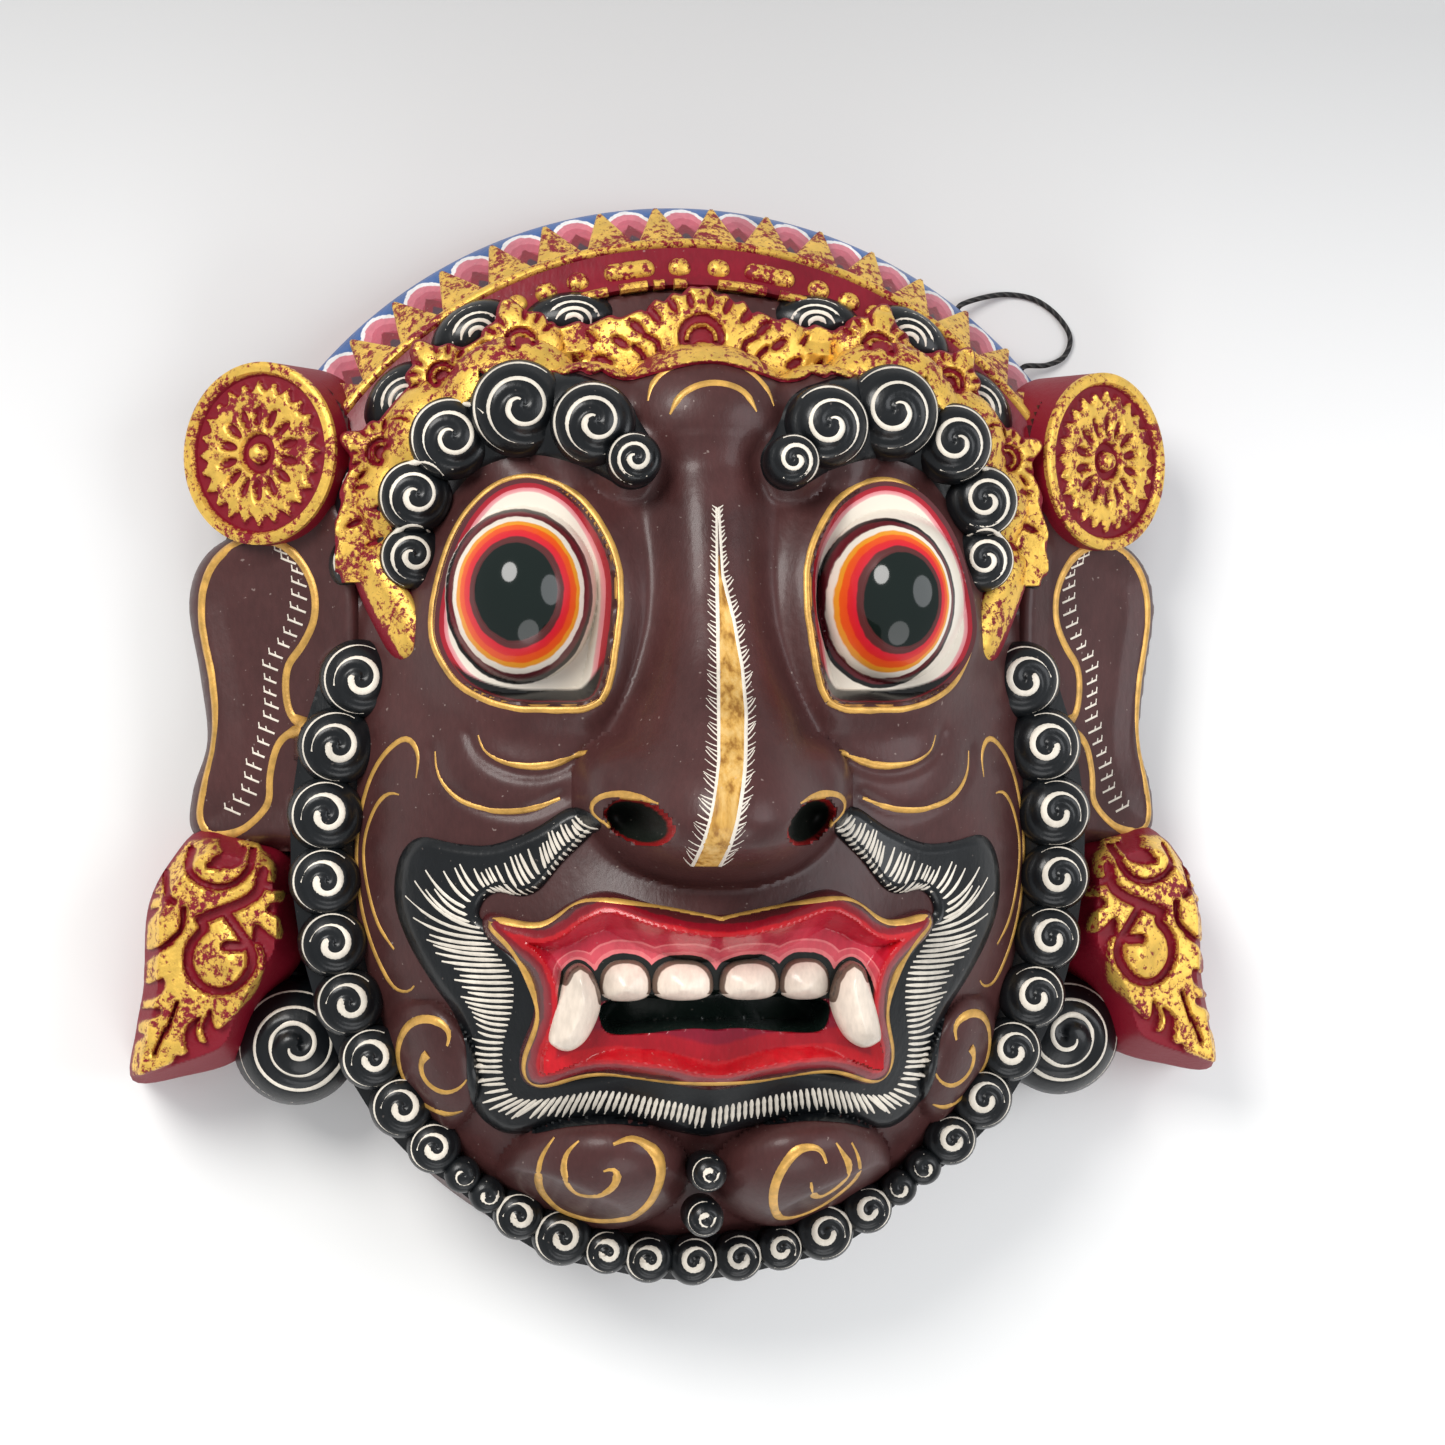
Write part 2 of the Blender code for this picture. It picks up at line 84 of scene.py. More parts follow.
# %% Painted finish
def shader_of(name):
    """A new material with its tree and its Principled shader."""
    finish = bpy.data.materials.new(name)
    finish.use_nodes = True
    return finish, finish.node_tree, finish.node_tree.nodes["Principled BSDF"]


def noise(tree, size_mm, detail=4.0, rough=0.6, stretch=(1.0, 1.0, 1.0)):
    """Noise whose lumps are about size_mm across, read from the piece's own coordinates."""
    place_node = tree.nodes.new("ShaderNodeTexCoord")
    mapping = tree.nodes.new("ShaderNodeMapping")
    mapping.inputs["Scale"].default_value = stretch
    tree.links.new(place_node.outputs["Object"], mapping.inputs["Vector"])
    texture = tree.nodes.new("ShaderNodeTexNoise")
    texture.inputs["Scale"].default_value = 1.0 / (size_mm * MM)
    texture.inputs["Detail"].default_value = detail
    texture.inputs["Roughness"].default_value = rough
    tree.links.new(mapping.outputs["Vector"], texture.inputs["Vector"])
    return texture.outputs["Fac"]


def ramp(tree, value, stops):
    """A colour ramp: stops are (place, colour)."""
    node = tree.nodes.new("ShaderNodeValToRGB")
    elements = node.color_ramp.elements
    while len(elements) < len(stops):
        elements.new(0.5)
    for element, (at, colour) in zip(elements, stops):
        element.position = at
    for element, (at, colour) in zip(elements, stops):
        element.color = (*colour, 1.0)
    tree.links.new(value, node.inputs["Fac"])
    return node.outputs["Color"]


def mix(tree, factor, low, high, blend="MIX"):
    """Mix two colours, each a socket or an (r, g, b)."""
    node = tree.nodes.new("ShaderNodeMix")
    node.data_type = "RGBA"
    node.blend_type = blend
    for socket, value in ((node.inputs[0], factor), (node.inputs[6], low), (node.inputs[7], high)):
        if isinstance(value, bpy.types.NodeSocket):
            tree.links.new(value, socket)
        elif isinstance(value, tuple):
            socket.default_value = (*value, 1.0)
        else:
            socket.default_value = value
    return node.outputs[2]


def math_node(tree, kind, a, b=0.0):
    """One arithmetic step on sockets or numbers."""
    node = tree.nodes.new("ShaderNodeMath")
    node.operation = kind
    for socket, value in zip(node.inputs, (a, b)):
        if isinstance(value, bpy.types.NodeSocket):
            tree.links.new(value, socket)
        else:
            socket.default_value = value
    return node.outputs[0]


def step_up(tree, value, at, soft=0.05):
    """0 below a value and 1 above it, with a narrow soft edge."""
    node = tree.nodes.new("ShaderNodeMapRange")
    node.inputs["From Min"].default_value = at - soft
    node.inputs["From Max"].default_value = at + soft
    tree.links.new(value, node.inputs["Value"])
    return node.outputs["Result"]


def attribute(tree, name):
    """A number stored on the mesh, point by point."""
    node = tree.nodes.new("ShaderNodeAttribute")
    node.attribute_name = name
    return node.outputs["Fac"]


def bumped(tree, shader, height, depth_mm):
    """Fine relief in the shading."""
    node = tree.nodes.new("ShaderNodeBump")
    node.inputs["Distance"].default_value = depth_mm * MM
    node.inputs["Strength"].default_value = 1.0
    tree.links.new(height, node.inputs["Height"])
    tree.links.new(node.outputs["Normal"], shader.inputs["Normal"])


def wavering(tree, name, size_mm, amount):
    """A stored number that wavers a little, as a painted edge does, and the waver itself."""
    wobble = math_node(tree, "SUBTRACT", noise(tree, size_mm, 2.0), 0.5)
    wobble = math_node(tree, "MULTIPLY", wobble, amount)
    return math_node(tree, "ADD", attribute(tree, name), wobble), wobble


def shaded(colour, factor):
    """A darker or lighter version of a colour."""
    return tuple(channel * factor for channel in colour)


def finish_paint(tree, shader, colour, gloss, coat=0.12, dust=0.3):
    """Brush strokes, uneven gloss and dust specks over a colour or a colour socket."""
    patches = noise(tree, 22.0, 3.0)
    tone = ramp(tree, patches, ((0.3, (0.72, 0.72, 0.72)), (0.7, (1.12, 1.12, 1.12))))
    colour = mix(tree, 1.0, colour, tone, "MULTIPLY")
    strokes = noise(tree, 1.1, 2.0, 0.5, (1.0, 0.35, 0.7))
    fine = ramp(tree, strokes, ((0.35, (0.93, 0.93, 0.93)), (0.65, (1.05, 1.05, 1.05))))
    colour = mix(tree, 1.0, colour, fine, "MULTIPLY")
    specks = step_up(tree, noise(tree, 1.3, 1.0, 0.4), 0.775, 0.02)
    colour = mix(tree, math_node(tree, "MULTIPLY", specks, dust), colour, (0.55, 0.45, 0.4))
    tree.links.new(colour, shader.inputs["Base Color"])
    uneven = ramp(tree, patches, ((0.25, (gloss - 0.06,) * 3), (0.75, (gloss + 0.09,) * 3)))
    tree.links.new(uneven, shader.inputs["Roughness"])
    shader.inputs["Coat Weight"].default_value = coat
    shader.inputs["Coat Roughness"].default_value = 0.14
    shader.inputs["Specular IOR Level"].default_value = 0.3
    bumped(tree, shader, noise(tree, 1.6, 3.0, 0.55, (1.0, 0.5, 0.8)), 0.12)


def plain_paint(name, colour, gloss=0.4, coat=0.12, dust=0.3):
    """A material of one paint."""
    finish, tree, shader = shader_of(name)
    finish_paint(tree, shader, colour, gloss, coat, dust)
    return finish


BROWN = (0.070, 0.0235, 0.0225)
BLACK = (0.006, 0.0075, 0.009)
CRIMSON = (0.21, 0.004, 0.016)
CREAM = (0.84, 0.77, 0.66)
GOLD_PAINT = (0.66, 0.37, 0.085)
GOLD_LEAF = (0.98, 0.62, 0.12)

black_paint = plain_paint("black_paint", BLACK, 0.32, 0.16, 0.12)
crimson_paint = plain_paint("crimson_paint", CRIMSON, 0.36)
cream_paint = plain_paint("cream_paint", CREAM, 0.4, 0.15, 0.0)
print("paints:", [m.name for m in (black_paint, crimson_paint, cream_paint)])

# %% [markdown]
# Gold leaf is laid on over crimson paint and then rubbed, so the crimson shows in flecks and
# along cracks.  Two sizes of noise decide where the leaf is gone; where it stays it is a metal,
# and where it is gone the paint is not, so the same mask also drives the metallic value.

# %% Gold leaf
def lay_leaf(tree, shader, ground, worn, within=None):
    """Gold leaf in flakes over a ground colour; the higher worn is, the more ground shows."""
    flecks = noise(tree, 2.0, 5.0, 0.75)
    patches = noise(tree, 12.0, 2.0, 0.5)
    together = math_node(tree, "ADD", math_node(tree, "MULTIPLY", flecks, 0.8),
                         math_node(tree, "MULTIPLY", patches, 0.32))
    kept = step_up(tree, together, worn, 0.03)
    if within is not None:
        kept = math_node(tree, "MULTIPLY", kept, within)
    tone = ramp(tree, noise(tree, 5.0, 3.0), ((0.3, shaded(GOLD_LEAF, 0.72)), (0.7, GOLD_LEAF)))
    tree.links.new(mix(tree, kept, ground, tone), shader.inputs["Base Color"])
    tree.links.new(math_node(tree, "MULTIPLY", kept, 0.6), shader.inputs["Metallic"])
    tree.links.new(ramp(tree, kept, ((0.0, (0.5,) * 3), (1.0, (0.38,) * 3))),
                   shader.inputs["Roughness"])
    shader.inputs["Specular IOR Level"].default_value = 0.3
    bumped(tree, shader, together, 0.25)


CROWN_WEAR, CARVING_WEAR = 0.548, 0.527
gold_leaf, tree, shader = shader_of("gold_leaf")
lay_leaf(tree, shader, CRIMSON, CROWN_WEAR)

gold_paint, tree, shader = shader_of("gold_brush_paint")
tone = ramp(tree, noise(tree, 4.0, 3.0), ((0.3, shaded(GOLD_PAINT, 0.7)),
                                         (0.7, shaded(GOLD_PAINT, 1.25))))
tree.links.new(tone, shader.inputs["Base Color"])
shader.inputs["Metallic"].default_value = 0.35
shader.inputs["Roughness"].default_value = 0.38
bumped(tree, shader, noise(tree, 0.8), 0.08)
print("gilding:", gold_leaf.name, "and", gold_paint.name)

# %% [markdown]
# The hanging cord is black and twisted from two strands.  Its stripes, a painted highlight on
# each strand's top and painted shade in the grooves, follow the tube, not space: the mesh keeps
# how far along and how far round each point is.

# %% Cord finish
cord_black, tree, shader = shader_of("black_twisted_cord")
TWIST_PER_METRE, STRANDS = 2100.0, 2.0
twist = math_node(tree, "ADD", math_node(tree, "MULTIPLY", attribute(tree, "along"), TWIST_PER_METRE),
                  math_node(tree, "MULTIPLY", attribute(tree, "around"), STRANDS))
strand_shade_and_relief = math_node(tree, "SINE", twist)
# Painted highlight on each strand's top and painted shade in the grooves between the strands.
tree.links.new(ramp(tree, strand_shade_and_relief, ((0.0, (0.006, 0.006, 0.007)), (1.0, (0.05, 0.047, 0.045)))),
               shader.inputs["Base Color"])
shader.inputs["Roughness"].default_value = 0.75
bumped(tree, shader, strand_shade_and_relief, 0.2)
print("cord finish:", cord_black.name)

# %% [markdown]
# ## Hanging cord
# A thin cord leaves the rim of the crown at the right shoulder, drops to the floor, goes round
# in one loose loop and returns to the rim.  A free cord is a fixed length on one smooth route,
# so its points are listed and joined by a smooth curve, and the tube is swept along it.

# %% Cord
CROWN_MIDDLE_Y = 17.3
CROWN_RADIUS = 148.5 - CROWN_MIDDLE_Y
CORD_DIAMETER = 1.5
CORD_GAP, WALL_SLACK = 0.5, 0.2
CORD_HEIGHT_AT_RIM = 4.5
CORD_ON_FLOOR = 0.85
CORD_START = math.radians(52.3)
CORD_END = math.radians(41.5)


def rounded(corners, closed=True, steps=6):
    """A smooth curve through the corners (Catmull-Rom), as a list of points."""
    count = len(corners)
    points = []
    for i in range(count if closed else count - 1):
        if closed:
            p = [corners[(i + k) % count] for k in (-1, 0, 1, 2)]
        else:
            p = [corners[min(max(i + k, 0), count - 1)] for k in (-1, 0, 1, 2)]
        for step in range(steps):
            t = step / steps
            points.append(tuple(
                0.5 * (2 * b + (c - a) * t + (2 * a - 5 * b + 4 * c - d) * t ** 2
                       + (3 * b - a - 3 * c + d) * t ** 3)
                for a, b, c, d in zip(*p)))
    points.append(points[0] if closed else corners[-1])
    return points


def even(points, count):
    """The same line with evenly spaced points."""
    points = np.array(points, dtype=float)
    walked = np.concatenate(([0.0], np.cumsum(np.linalg.norm(np.diff(points, axis=0), axis=1))))
    wanted = np.linspace(0.0, walked[-1], count)
    return np.stack([np.interp(wanted, walked, points[:, k]) for k in range(points.shape[1])], axis=1)


def length_of(points):
    """Length of a line of points."""
    return float(np.linalg.norm(np.diff(np.array(points, dtype=float), axis=0), axis=1).sum())


def beside_rim(angle, out, height):
    """A point beside the crown's wall."""
    reach = CROWN_RADIUS + WALL_SLACK + CORD_GAP + out
    return (reach * math.cos(angle), CROWN_MIDDLE_Y + reach * math.sin(angle), height)


def link(thing):
    """Put an object in the scene."""
    bpy.context.scene.collection.objects.link(thing)
    return thing


def store(mesh, label, values):
    """Keep one number for every point of a mesh."""
    layer = mesh.attributes.new(label, "FLOAT", "POINT")
    layer.data.foreach_set("value", np.asarray(values, dtype=np.float32))


def tube_mesh(name, path, radius, sides):
    """A closed tube along a path, with how far along and around each point is."""
    path = np.array(path, dtype=float)
    ahead = np.gradient(path, axis=0)
    ahead /= np.linalg.norm(ahead, axis=1)[:, None]
    up = np.array((0.0, 0.0, 1.0))
    across = np.cross(ahead, up)
    across /= np.linalg.norm(across, axis=1)[:, None]
    above = np.cross(across, ahead)
    turns = np.linspace(0.0, 2 * math.pi, sides, endpoint=False)
    rings = (path[:, None, :] + radius * (np.cos(turns)[None, :, None] * across[:, None, :]
                                          + np.sin(turns)[None, :, None] * above[:, None, :]))
    count = len(path)
    faces = []
    for i in range(count - 1):
        for j in range(sides):
            k = (j + 1) % sides
            faces.append((i * sides + k, i * sides + j, (i + 1) * sides + j, (i + 1) * sides + k))
    faces.append(tuple(range(sides)))
    faces.append(tuple(range(count * sides - 1, (count - 1) * sides - 1, -1)))
    mesh = bpy.data.meshes.new(name)
    mesh.from_pydata(rings.reshape(-1, 3).tolist(), [], faces)
    walked = np.concatenate(([0.0], np.cumsum(np.linalg.norm(np.diff(path, axis=0), axis=1))))
    store(mesh, "along", np.repeat(walked, sides))
    store(mesh, "around", np.tile(turns, count))
    mesh.shade_smooth()
    return mesh


cord_hand = (
    beside_rim(CORD_START, 0.0, CORD_HEIGHT_AT_RIM),
    beside_rim(CORD_START, 3.0, CORD_HEIGHT_AT_RIM - 0.6),
    (90.0, 126.5, 2.2), (97.0, 127.4, CORD_ON_FLOOR), (104.5, 126.0, CORD_ON_FLOOR),
    (110.8, 121.6, CORD_ON_FLOOR), (114.6, 115.6, CORD_ON_FLOOR), (113.0, 110.0, CORD_ON_FLOOR),
    (107.5, 107.2, 2.2),
    beside_rim(CORD_END, 3.0, CORD_HEIGHT_AT_RIM - 0.6),
    beside_rim(CORD_END, 0.0, CORD_HEIGHT_AT_RIM))
cord_path = even(rounded(cord_hand, closed=False, steps=16), 160) * MM
cord_mesh = tube_mesh("hanging_cord_twisted", cord_path, CORD_DIAMETER / 2 * MM, 10)
cord_mesh.materials.append(cord_black)
cord = link(bpy.data.objects.new("hanging_cord_twisted", cord_mesh))
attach(cord, "root")
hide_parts("hanging_cord")

# %% [markdown]
# ## Height fields
# A carver thinks of the front as heights over the back plane.  Each form gives its height for
# arrays of x and y, and forms are joined by taking the higher one, with a fillet where needed.

# %% Helpers for height fields
BELOW = -6.0


def smooth_max(a, b, blend):
    """The higher of two fields, with a fillet where they meet."""
    near = np.maximum(blend - np.abs(a - b), 0.0) / blend
    return np.maximum(a, b) + near * near * blend / 4


def boss(x, y, middle, reach, foot, rise, turn=0.0):
    """A rounded boss: foot at its edge and foot + rise in its middle."""
    dx = x - middle[0]
    dy = y - middle[1]
    along = (dx * math.cos(turn) + dy * math.sin(turn)) / reach[0]
    across = (dy * math.cos(turn) - dx * math.sin(turn)) / reach[1]
    inside = 1.0 - along ** 2 - across ** 2
    return np.where(inside > 0, foot + rise * np.sqrt(np.maximum(inside, 0.0)), BELOW)


def swell(x, y, middle, reach):
    """A soft bump of height 1 that fades out over reach."""
    return np.exp(-((x - middle[0]) / reach[0]) ** 2 - ((y - middle[1]) / reach[1]) ** 2)


def distance_to_path(x, y, path):
    """Distance of every point to a line of straight stretches."""
    nearest = np.full(x.shape, 1e6)
    for (ax, ay), (bx, by) in zip(path[:-1], path[1:]):
        length_squared = (bx - ax) ** 2 + (by - ay) ** 2 + 1e-9
        t = np.clip(((x - ax) * (bx - ax) + (y - ay) * (by - ay)) / length_squared, 0, 1)
        nearest = np.minimum(nearest, np.hypot(x - ax - t * (bx - ax), y - ay - t * (by - ay)))
    return nearest


def depth_inside(x, y, outline):
    """Distance in from a closed outline: positive inside it and negative outside."""
    inside = np.zeros(x.shape, dtype=bool)
    for (ax, ay), (bx, by) in zip(outline[:-1], outline[1:]):
        if ay != by:
            crosses = (ay > y) != (by > y)
            inside ^= crosses & (x < ax + (y - ay) * (bx - ax) / (by - ay))
    edge = distance_to_path(x, y, outline)
    return np.where(inside, edge, -edge)


def across_the_middle(half):
    """A closed outline from its right half, whose two ends lie on x = 0."""
    return rounded(list(half) + [(-x, y) for x, y in half[1:-1]][::-1])


def level(height):
    """A field of one height, for flat floors."""
    return lambda x, y: np.full(np.shape(x), height)


def soft_edge(depth, radius):
    """How much a rounded edge lowers the top, at a depth in from the outline."""
    near = np.clip(1.0 - depth / radius, 0.0, 1.0)
    return radius * (1.0 - np.sqrt(np.maximum(1.0 - near ** 2, 0.0)))


MIDDLE = np.zeros(1)
print("a boss of rise 5 on a foot at 2 is", boss(MIDDLE, MIDDLE, (0, 0), (9, 9), 2.0, 5.0)[0], "mm high")

# %% [markdown]
# ## Turning a field into a closed mesh
# A square grid gives ragged outlines.  So grid points that lie near the outline are moved onto
# it, cells outside it are dropped, walls go straight down, and the underside is filled with a
# few large triangles.  The result is one closed mesh with a crisp edge.

# %% Walls and underside
WITH_HOLES = 4


def drop_wall(faces, xy, top, floor_of, inner):
    """Close a sheet with walls and an underside; inner is a spacing or a list of its points."""
    directed = dict.fromkeys((a, b) for face in faces for a, b in zip(face, face[1:] + face[:1]))
    border = [(a, b) for (a, b) in directed if (b, a) not in directed]
    ring = sorted({a for a, b in border})
    lower = {a: len(xy) + i for i, a in enumerate(ring)}
    ring_xy = xy[ring]
    ring_z = floor_of(ring_xy[:, 0], ring_xy[:, 1])
    walls = [(b, a, lower[a], lower[b]) for a, b in border]
    index = {a: i for i, a in enumerate(ring)}
    flat = [Vector(p) for p in ring_xy]
    edges = [(index[a], index[b]) for a, b in border]
    if isinstance(inner, list):
        flat += [Vector(p) for p in inner]
    elif inner:
        low, high = ring_xy.min(axis=0), ring_xy.max(axis=0)
        gx, gy = np.meshgrid(np.arange(low[0] + 2, high[0], inner),
                             np.arange(low[1] + 2, high[1], inner))
        flat += [Vector(p) for p in zip(gx.ravel(), gy.ravel())]
    points, _, cells, originals, _, _ = delaunay_2d_cdt(flat, edges, [], WITH_HOLES, 1e-6)
    extra_xy = []
    number = {}
    for i, sources in enumerate(originals):
        ring_source = [s for s in sources if s < len(ring)]
        if ring_source:
            number[i] = len(xy) + ring_source[0]
    for i in sorted({i for cell in cells for i in cell}):
        if i not in number:
            number[i] = len(xy) + len(ring) + len(extra_xy)
            extra_xy.append((points[i].x, points[i].y))
    bottoms = [tuple(number[i] for i in reversed(cell)) for cell in cells]
    extra_xy = np.array(extra_xy).reshape(-1, 2)
    extra_z = floor_of(extra_xy[:, 0], extra_xy[:, 1]) if len(extra_xy) else np.zeros(0)
    verts = np.concatenate((
        np.column_stack((xy, top)), np.column_stack((ring_xy, ring_z)),
        np.column_stack((extra_xy, extra_z))))
    return verts, faces + walls + bottoms, len(faces), len(walls)


# %% [markdown]
# ## Top of a relief
# The carved top of every piece comes from here: outline, height and paint fields go in, and a
# closed mesh comes out.  A remesh would round the edges off, so the grid is cut by hand.

# %% Relief mesher
CARVED_EDGE = 38.0
SIDES = ((1, "right"), (-1, "left"))


def relief(name, span, step, depth_of, top_of, floor_of, inner, fields, material, under=None):
    """A closed mesh over the inside of an outline, from a top field to a floor field."""
    x0, x1, y0, y1 = span
    xs = np.arange(x0, x1 + step, step)
    ys = np.arange(y0, y1 + step, step)
    x, y = np.meshgrid(xs, ys)
    depth = depth_of(x, y)
    slope_y, slope_x = np.gradient(depth, step)
    square = np.maximum(slope_x ** 2 + slope_y ** 2, 0.3)
    near = np.abs(depth) < 0.52 * step * np.sqrt(square)
    x = np.where(near, x - depth * slope_x / square, x)
    y = np.where(near, y - depth * slope_y / square, y)
    kept = near | (depth > 0)
    corners = [(slice(0, -1), slice(0, -1)), (slice(0, -1), slice(1, None)),
               (slice(1, None), slice(1, None)), (slice(1, None), slice(0, -1))]
    present = [kept[c] for c in corners]
    total = sum(p.astype(int) for p in present)
    number = np.arange(x.size).reshape(x.shape)
    ids = [number[c] for c in corners]
    full = total == 4
    faces = np.stack([i[full] for i in ids], axis=1).tolist()
    for missing in range(4):
        cut = (total == 3) & ~present[missing]
        rest = [ids[k][cut] for k in range(4) if k != missing]
        faces += np.stack(rest, axis=1).tolist()
    used = np.unique([a for face in faces for a in face])
    lookup = np.full(x.size, -1)
    lookup[used] = np.arange(len(used))
    faces = [tuple(lookup[list(face)].tolist()) for face in faces]
    xy = np.column_stack((x.ravel()[used], y.ravel()[used]))
    top = top_of(xy[:, 0], xy[:, 1])
    floor = floor_of(xy[:, 0], xy[:, 1])
    top = np.maximum(top, floor + 0.2)
    verts, all_faces, n_top, n_wall = drop_wall(faces, xy, top, floor_of, inner)
    mesh = bpy.data.meshes.new(name)
    mesh.from_pydata((verts * MM).tolist(), [], all_faces)
    for label, field in (fields or {}).items():
        store(mesh, label, field(verts[:, 0], verts[:, 1]))
    mesh.materials.append(material)
    if under:
        mesh.materials.append(under)
        slots = np.zeros(len(all_faces), dtype=np.int32)
        slots[n_top + n_wall:] = 1
        mesh.polygons.foreach_set("material_index", slots)
    mesh.shade_smooth()
    mesh.set_sharp_from_angle(angle=math.radians(CARVED_EDGE))
    thing = link(bpy.data.objects.new(name, mesh))
    print(name, "faces:", len(all_faces))
    return thing


def keep(thing):
    """Every visible piece rides on the mask's one body and stands for the carved block."""
    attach(thing, "root")
    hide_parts("mask")
    return thing


def relief_pair(name, span, slot, *how):
    """The same relief on the right and on the left, from the span on the right."""
    x0, x1, y0, y1 = span
    return [keep(relief(f"{name}_{word}", span if side > 0 else (-x1, -x0, y0, y1), *how))
            for side, word in SIDES]


# %% [markdown]
# ## Node trees for what repeats and what follows a line
# Curls, points, beads and teeth are one shape set many times, so one small tree puts a piece on
# every point of a cloud, turned and sized by what the point stores.  A brush line is a route, so
# the other tree sweeps a round section along it; the width comes from each point of the route.

# %% Node trees
def new_tree(name, inputs):
    """An empty geometry tree with named inputs and one geometry output."""
    tree = bpy.data.node_groups.new(name, "GeometryNodeTree")
    for label, kind in inputs:
        tree.interface.new_socket(name=label, in_out="INPUT", socket_type=kind)
    tree.interface.new_socket(name="Geometry", in_out="OUTPUT", socket_type="NodeSocketGeometry")
    return tree, tree.nodes.new("NodeGroupInput"), tree.nodes.new("NodeGroupOutput")


def named(tree, label, kind):
    """Read an attribute by its name."""
    node = tree.nodes.new("GeometryNodeInputNamedAttribute")
    node.data_type = kind
    node.inputs["Name"].default_value = label
    return node.outputs["Attribute"]


def finish_tree(tree, geometry, given, out):
    """Make the result real geometry with its material."""
    real = tree.nodes.new("GeometryNodeRealizeInstances")
    paint = tree.nodes.new("GeometryNodeSetMaterial")
    tree.links.new(geometry, real.inputs["Geometry"])
    tree.links.new(real.outputs["Geometry"], paint.inputs["Geometry"])
    tree.links.new(given.outputs["Material"], paint.inputs["Material"])
    tree.links.new(paint.outputs["Geometry"], out.inputs["Geometry"])


repeat_tree, given, out = new_tree("piece_on_points", (
    ("Geometry", "NodeSocketGeometry"), ("Piece", "NodeSocketObject"),
    ("Material", "NodeSocketMaterial")))
fetch = repeat_tree.nodes.new("GeometryNodeObjectInfo")
put = repeat_tree.nodes.new("GeometryNodeInstanceOnPoints")
repeat_tree.links.new(given.outputs["Piece"], fetch.inputs["Object"])
repeat_tree.links.new(given.outputs["Geometry"], put.inputs["Points"])
repeat_tree.links.new(fetch.outputs["Geometry"], put.inputs["Instance"])
repeat_tree.links.new(named(repeat_tree, "turn", "FLOAT_VECTOR"), put.inputs["Rotation"])
repeat_tree.links.new(named(repeat_tree, "size", "FLOAT_VECTOR"), put.inputs["Scale"])
finish_tree(repeat_tree, put.outputs["Instances"], given, out)

line_tree, given, out = new_tree("brush_lines", (
    ("Geometry", "NodeSocketGeometry"), ("Sides", "NodeSocketInt"),
    ("Material", "NodeSocketMaterial")))
section = line_tree.nodes.new("GeometryNodeCurvePrimitiveCircle")
section.inputs["Radius"].default_value = 1.0
sweep = line_tree.nodes.new("GeometryNodeCurveToMesh")
sweep.inputs["Fill Caps"].default_value = True
smooth = line_tree.nodes.new("GeometryNodeSetShadeSmooth")
line_tree.links.new(given.outputs["Sides"], section.inputs["Resolution"])
line_tree.links.new(given.outputs["Geometry"], sweep.inputs["Curve"])
line_tree.links.new(section.outputs["Curve"], sweep.inputs["Profile Curve"])
width = line_tree.nodes.new("GeometryNodeInputRadius")
line_tree.links.new(width.outputs["Radius"], sweep.inputs["Scale"])
line_tree.links.new(sweep.outputs["Mesh"], smooth.inputs["Geometry"])
finish_tree(line_tree, smooth.outputs["Geometry"], given, out)


def grown(name, data, tree, values):
    """Run a tree on some data once and keep the result as a plain mesh object."""
    source = link(bpy.data.objects.new(name + "_source", data))
    modifier = source.modifiers.new("grow", "NODES")
    modifier.node_group = tree
    for item in tree.interface.items_tree:
        if item.in_out == "INPUT" and item.name in values:
            modifier[item.identifier] = values[item.name]
    bpy.context.view_layer.update()
    ready = source.evaluated_get(bpy.context.evaluated_depsgraph_get())
    mesh = bpy.data.meshes.new_from_object(ready)
    mesh.name = name
    source.modifiers.remove(modifier)
    bpy.data.objects.remove(source, do_unlink=True)
    return link(bpy.data.objects.new(name, mesh))


def repeated(name, piece, spots, material):
    """One piece at many spots, each (x, y, z, turn as three angles, size as three numbers)."""
    cloud = bpy.data.meshes.new(name + "_spots")
    cloud.from_pydata([tuple(c * MM for c in spot[:3]) for spot in spots], [], [])
    for label, place in (("turn", 3), ("size", 4)):
        layer = cloud.attributes.new(label, "FLOAT_VECTOR", "POINT")
        layer.data.foreach_set("vector", [c for spot in spots for c in spot[place]])
    thing = grown(name, cloud, repeat_tree, {"Piece": piece, "Material": material})
    print(name, "copies:", len(spots), "faces:", len(thing.data.polygons))
    return thing


surfaces = {}


def surface_of(thing):
    """A search tree of a finished piece, in millimetres."""
    if thing.name not in surfaces:
        verts = [tuple(v.co / MM) for v in thing.data.vertices]
        faces = [tuple(p.vertices) for p in thing.data.polygons]
        surfaces[thing.name] = BVHTree.FromPolygons(verts, faces)
    return surfaces[thing.name]


def laid_on(things, x, y):
    """The point and normal that a brush coming straight down meets first."""
    best = None
    for thing in things:
        hit, normal, _, _ = surface_of(thing).ray_cast(Vector((x, y, 400.0)), Vector((0, 0, -1)))
        if hit is not None and (best is None or hit.z > best[0].z):
            best = (hit, normal)
    return best


LINE_PROUD, LINE_ROUND = 0.42, 1.75


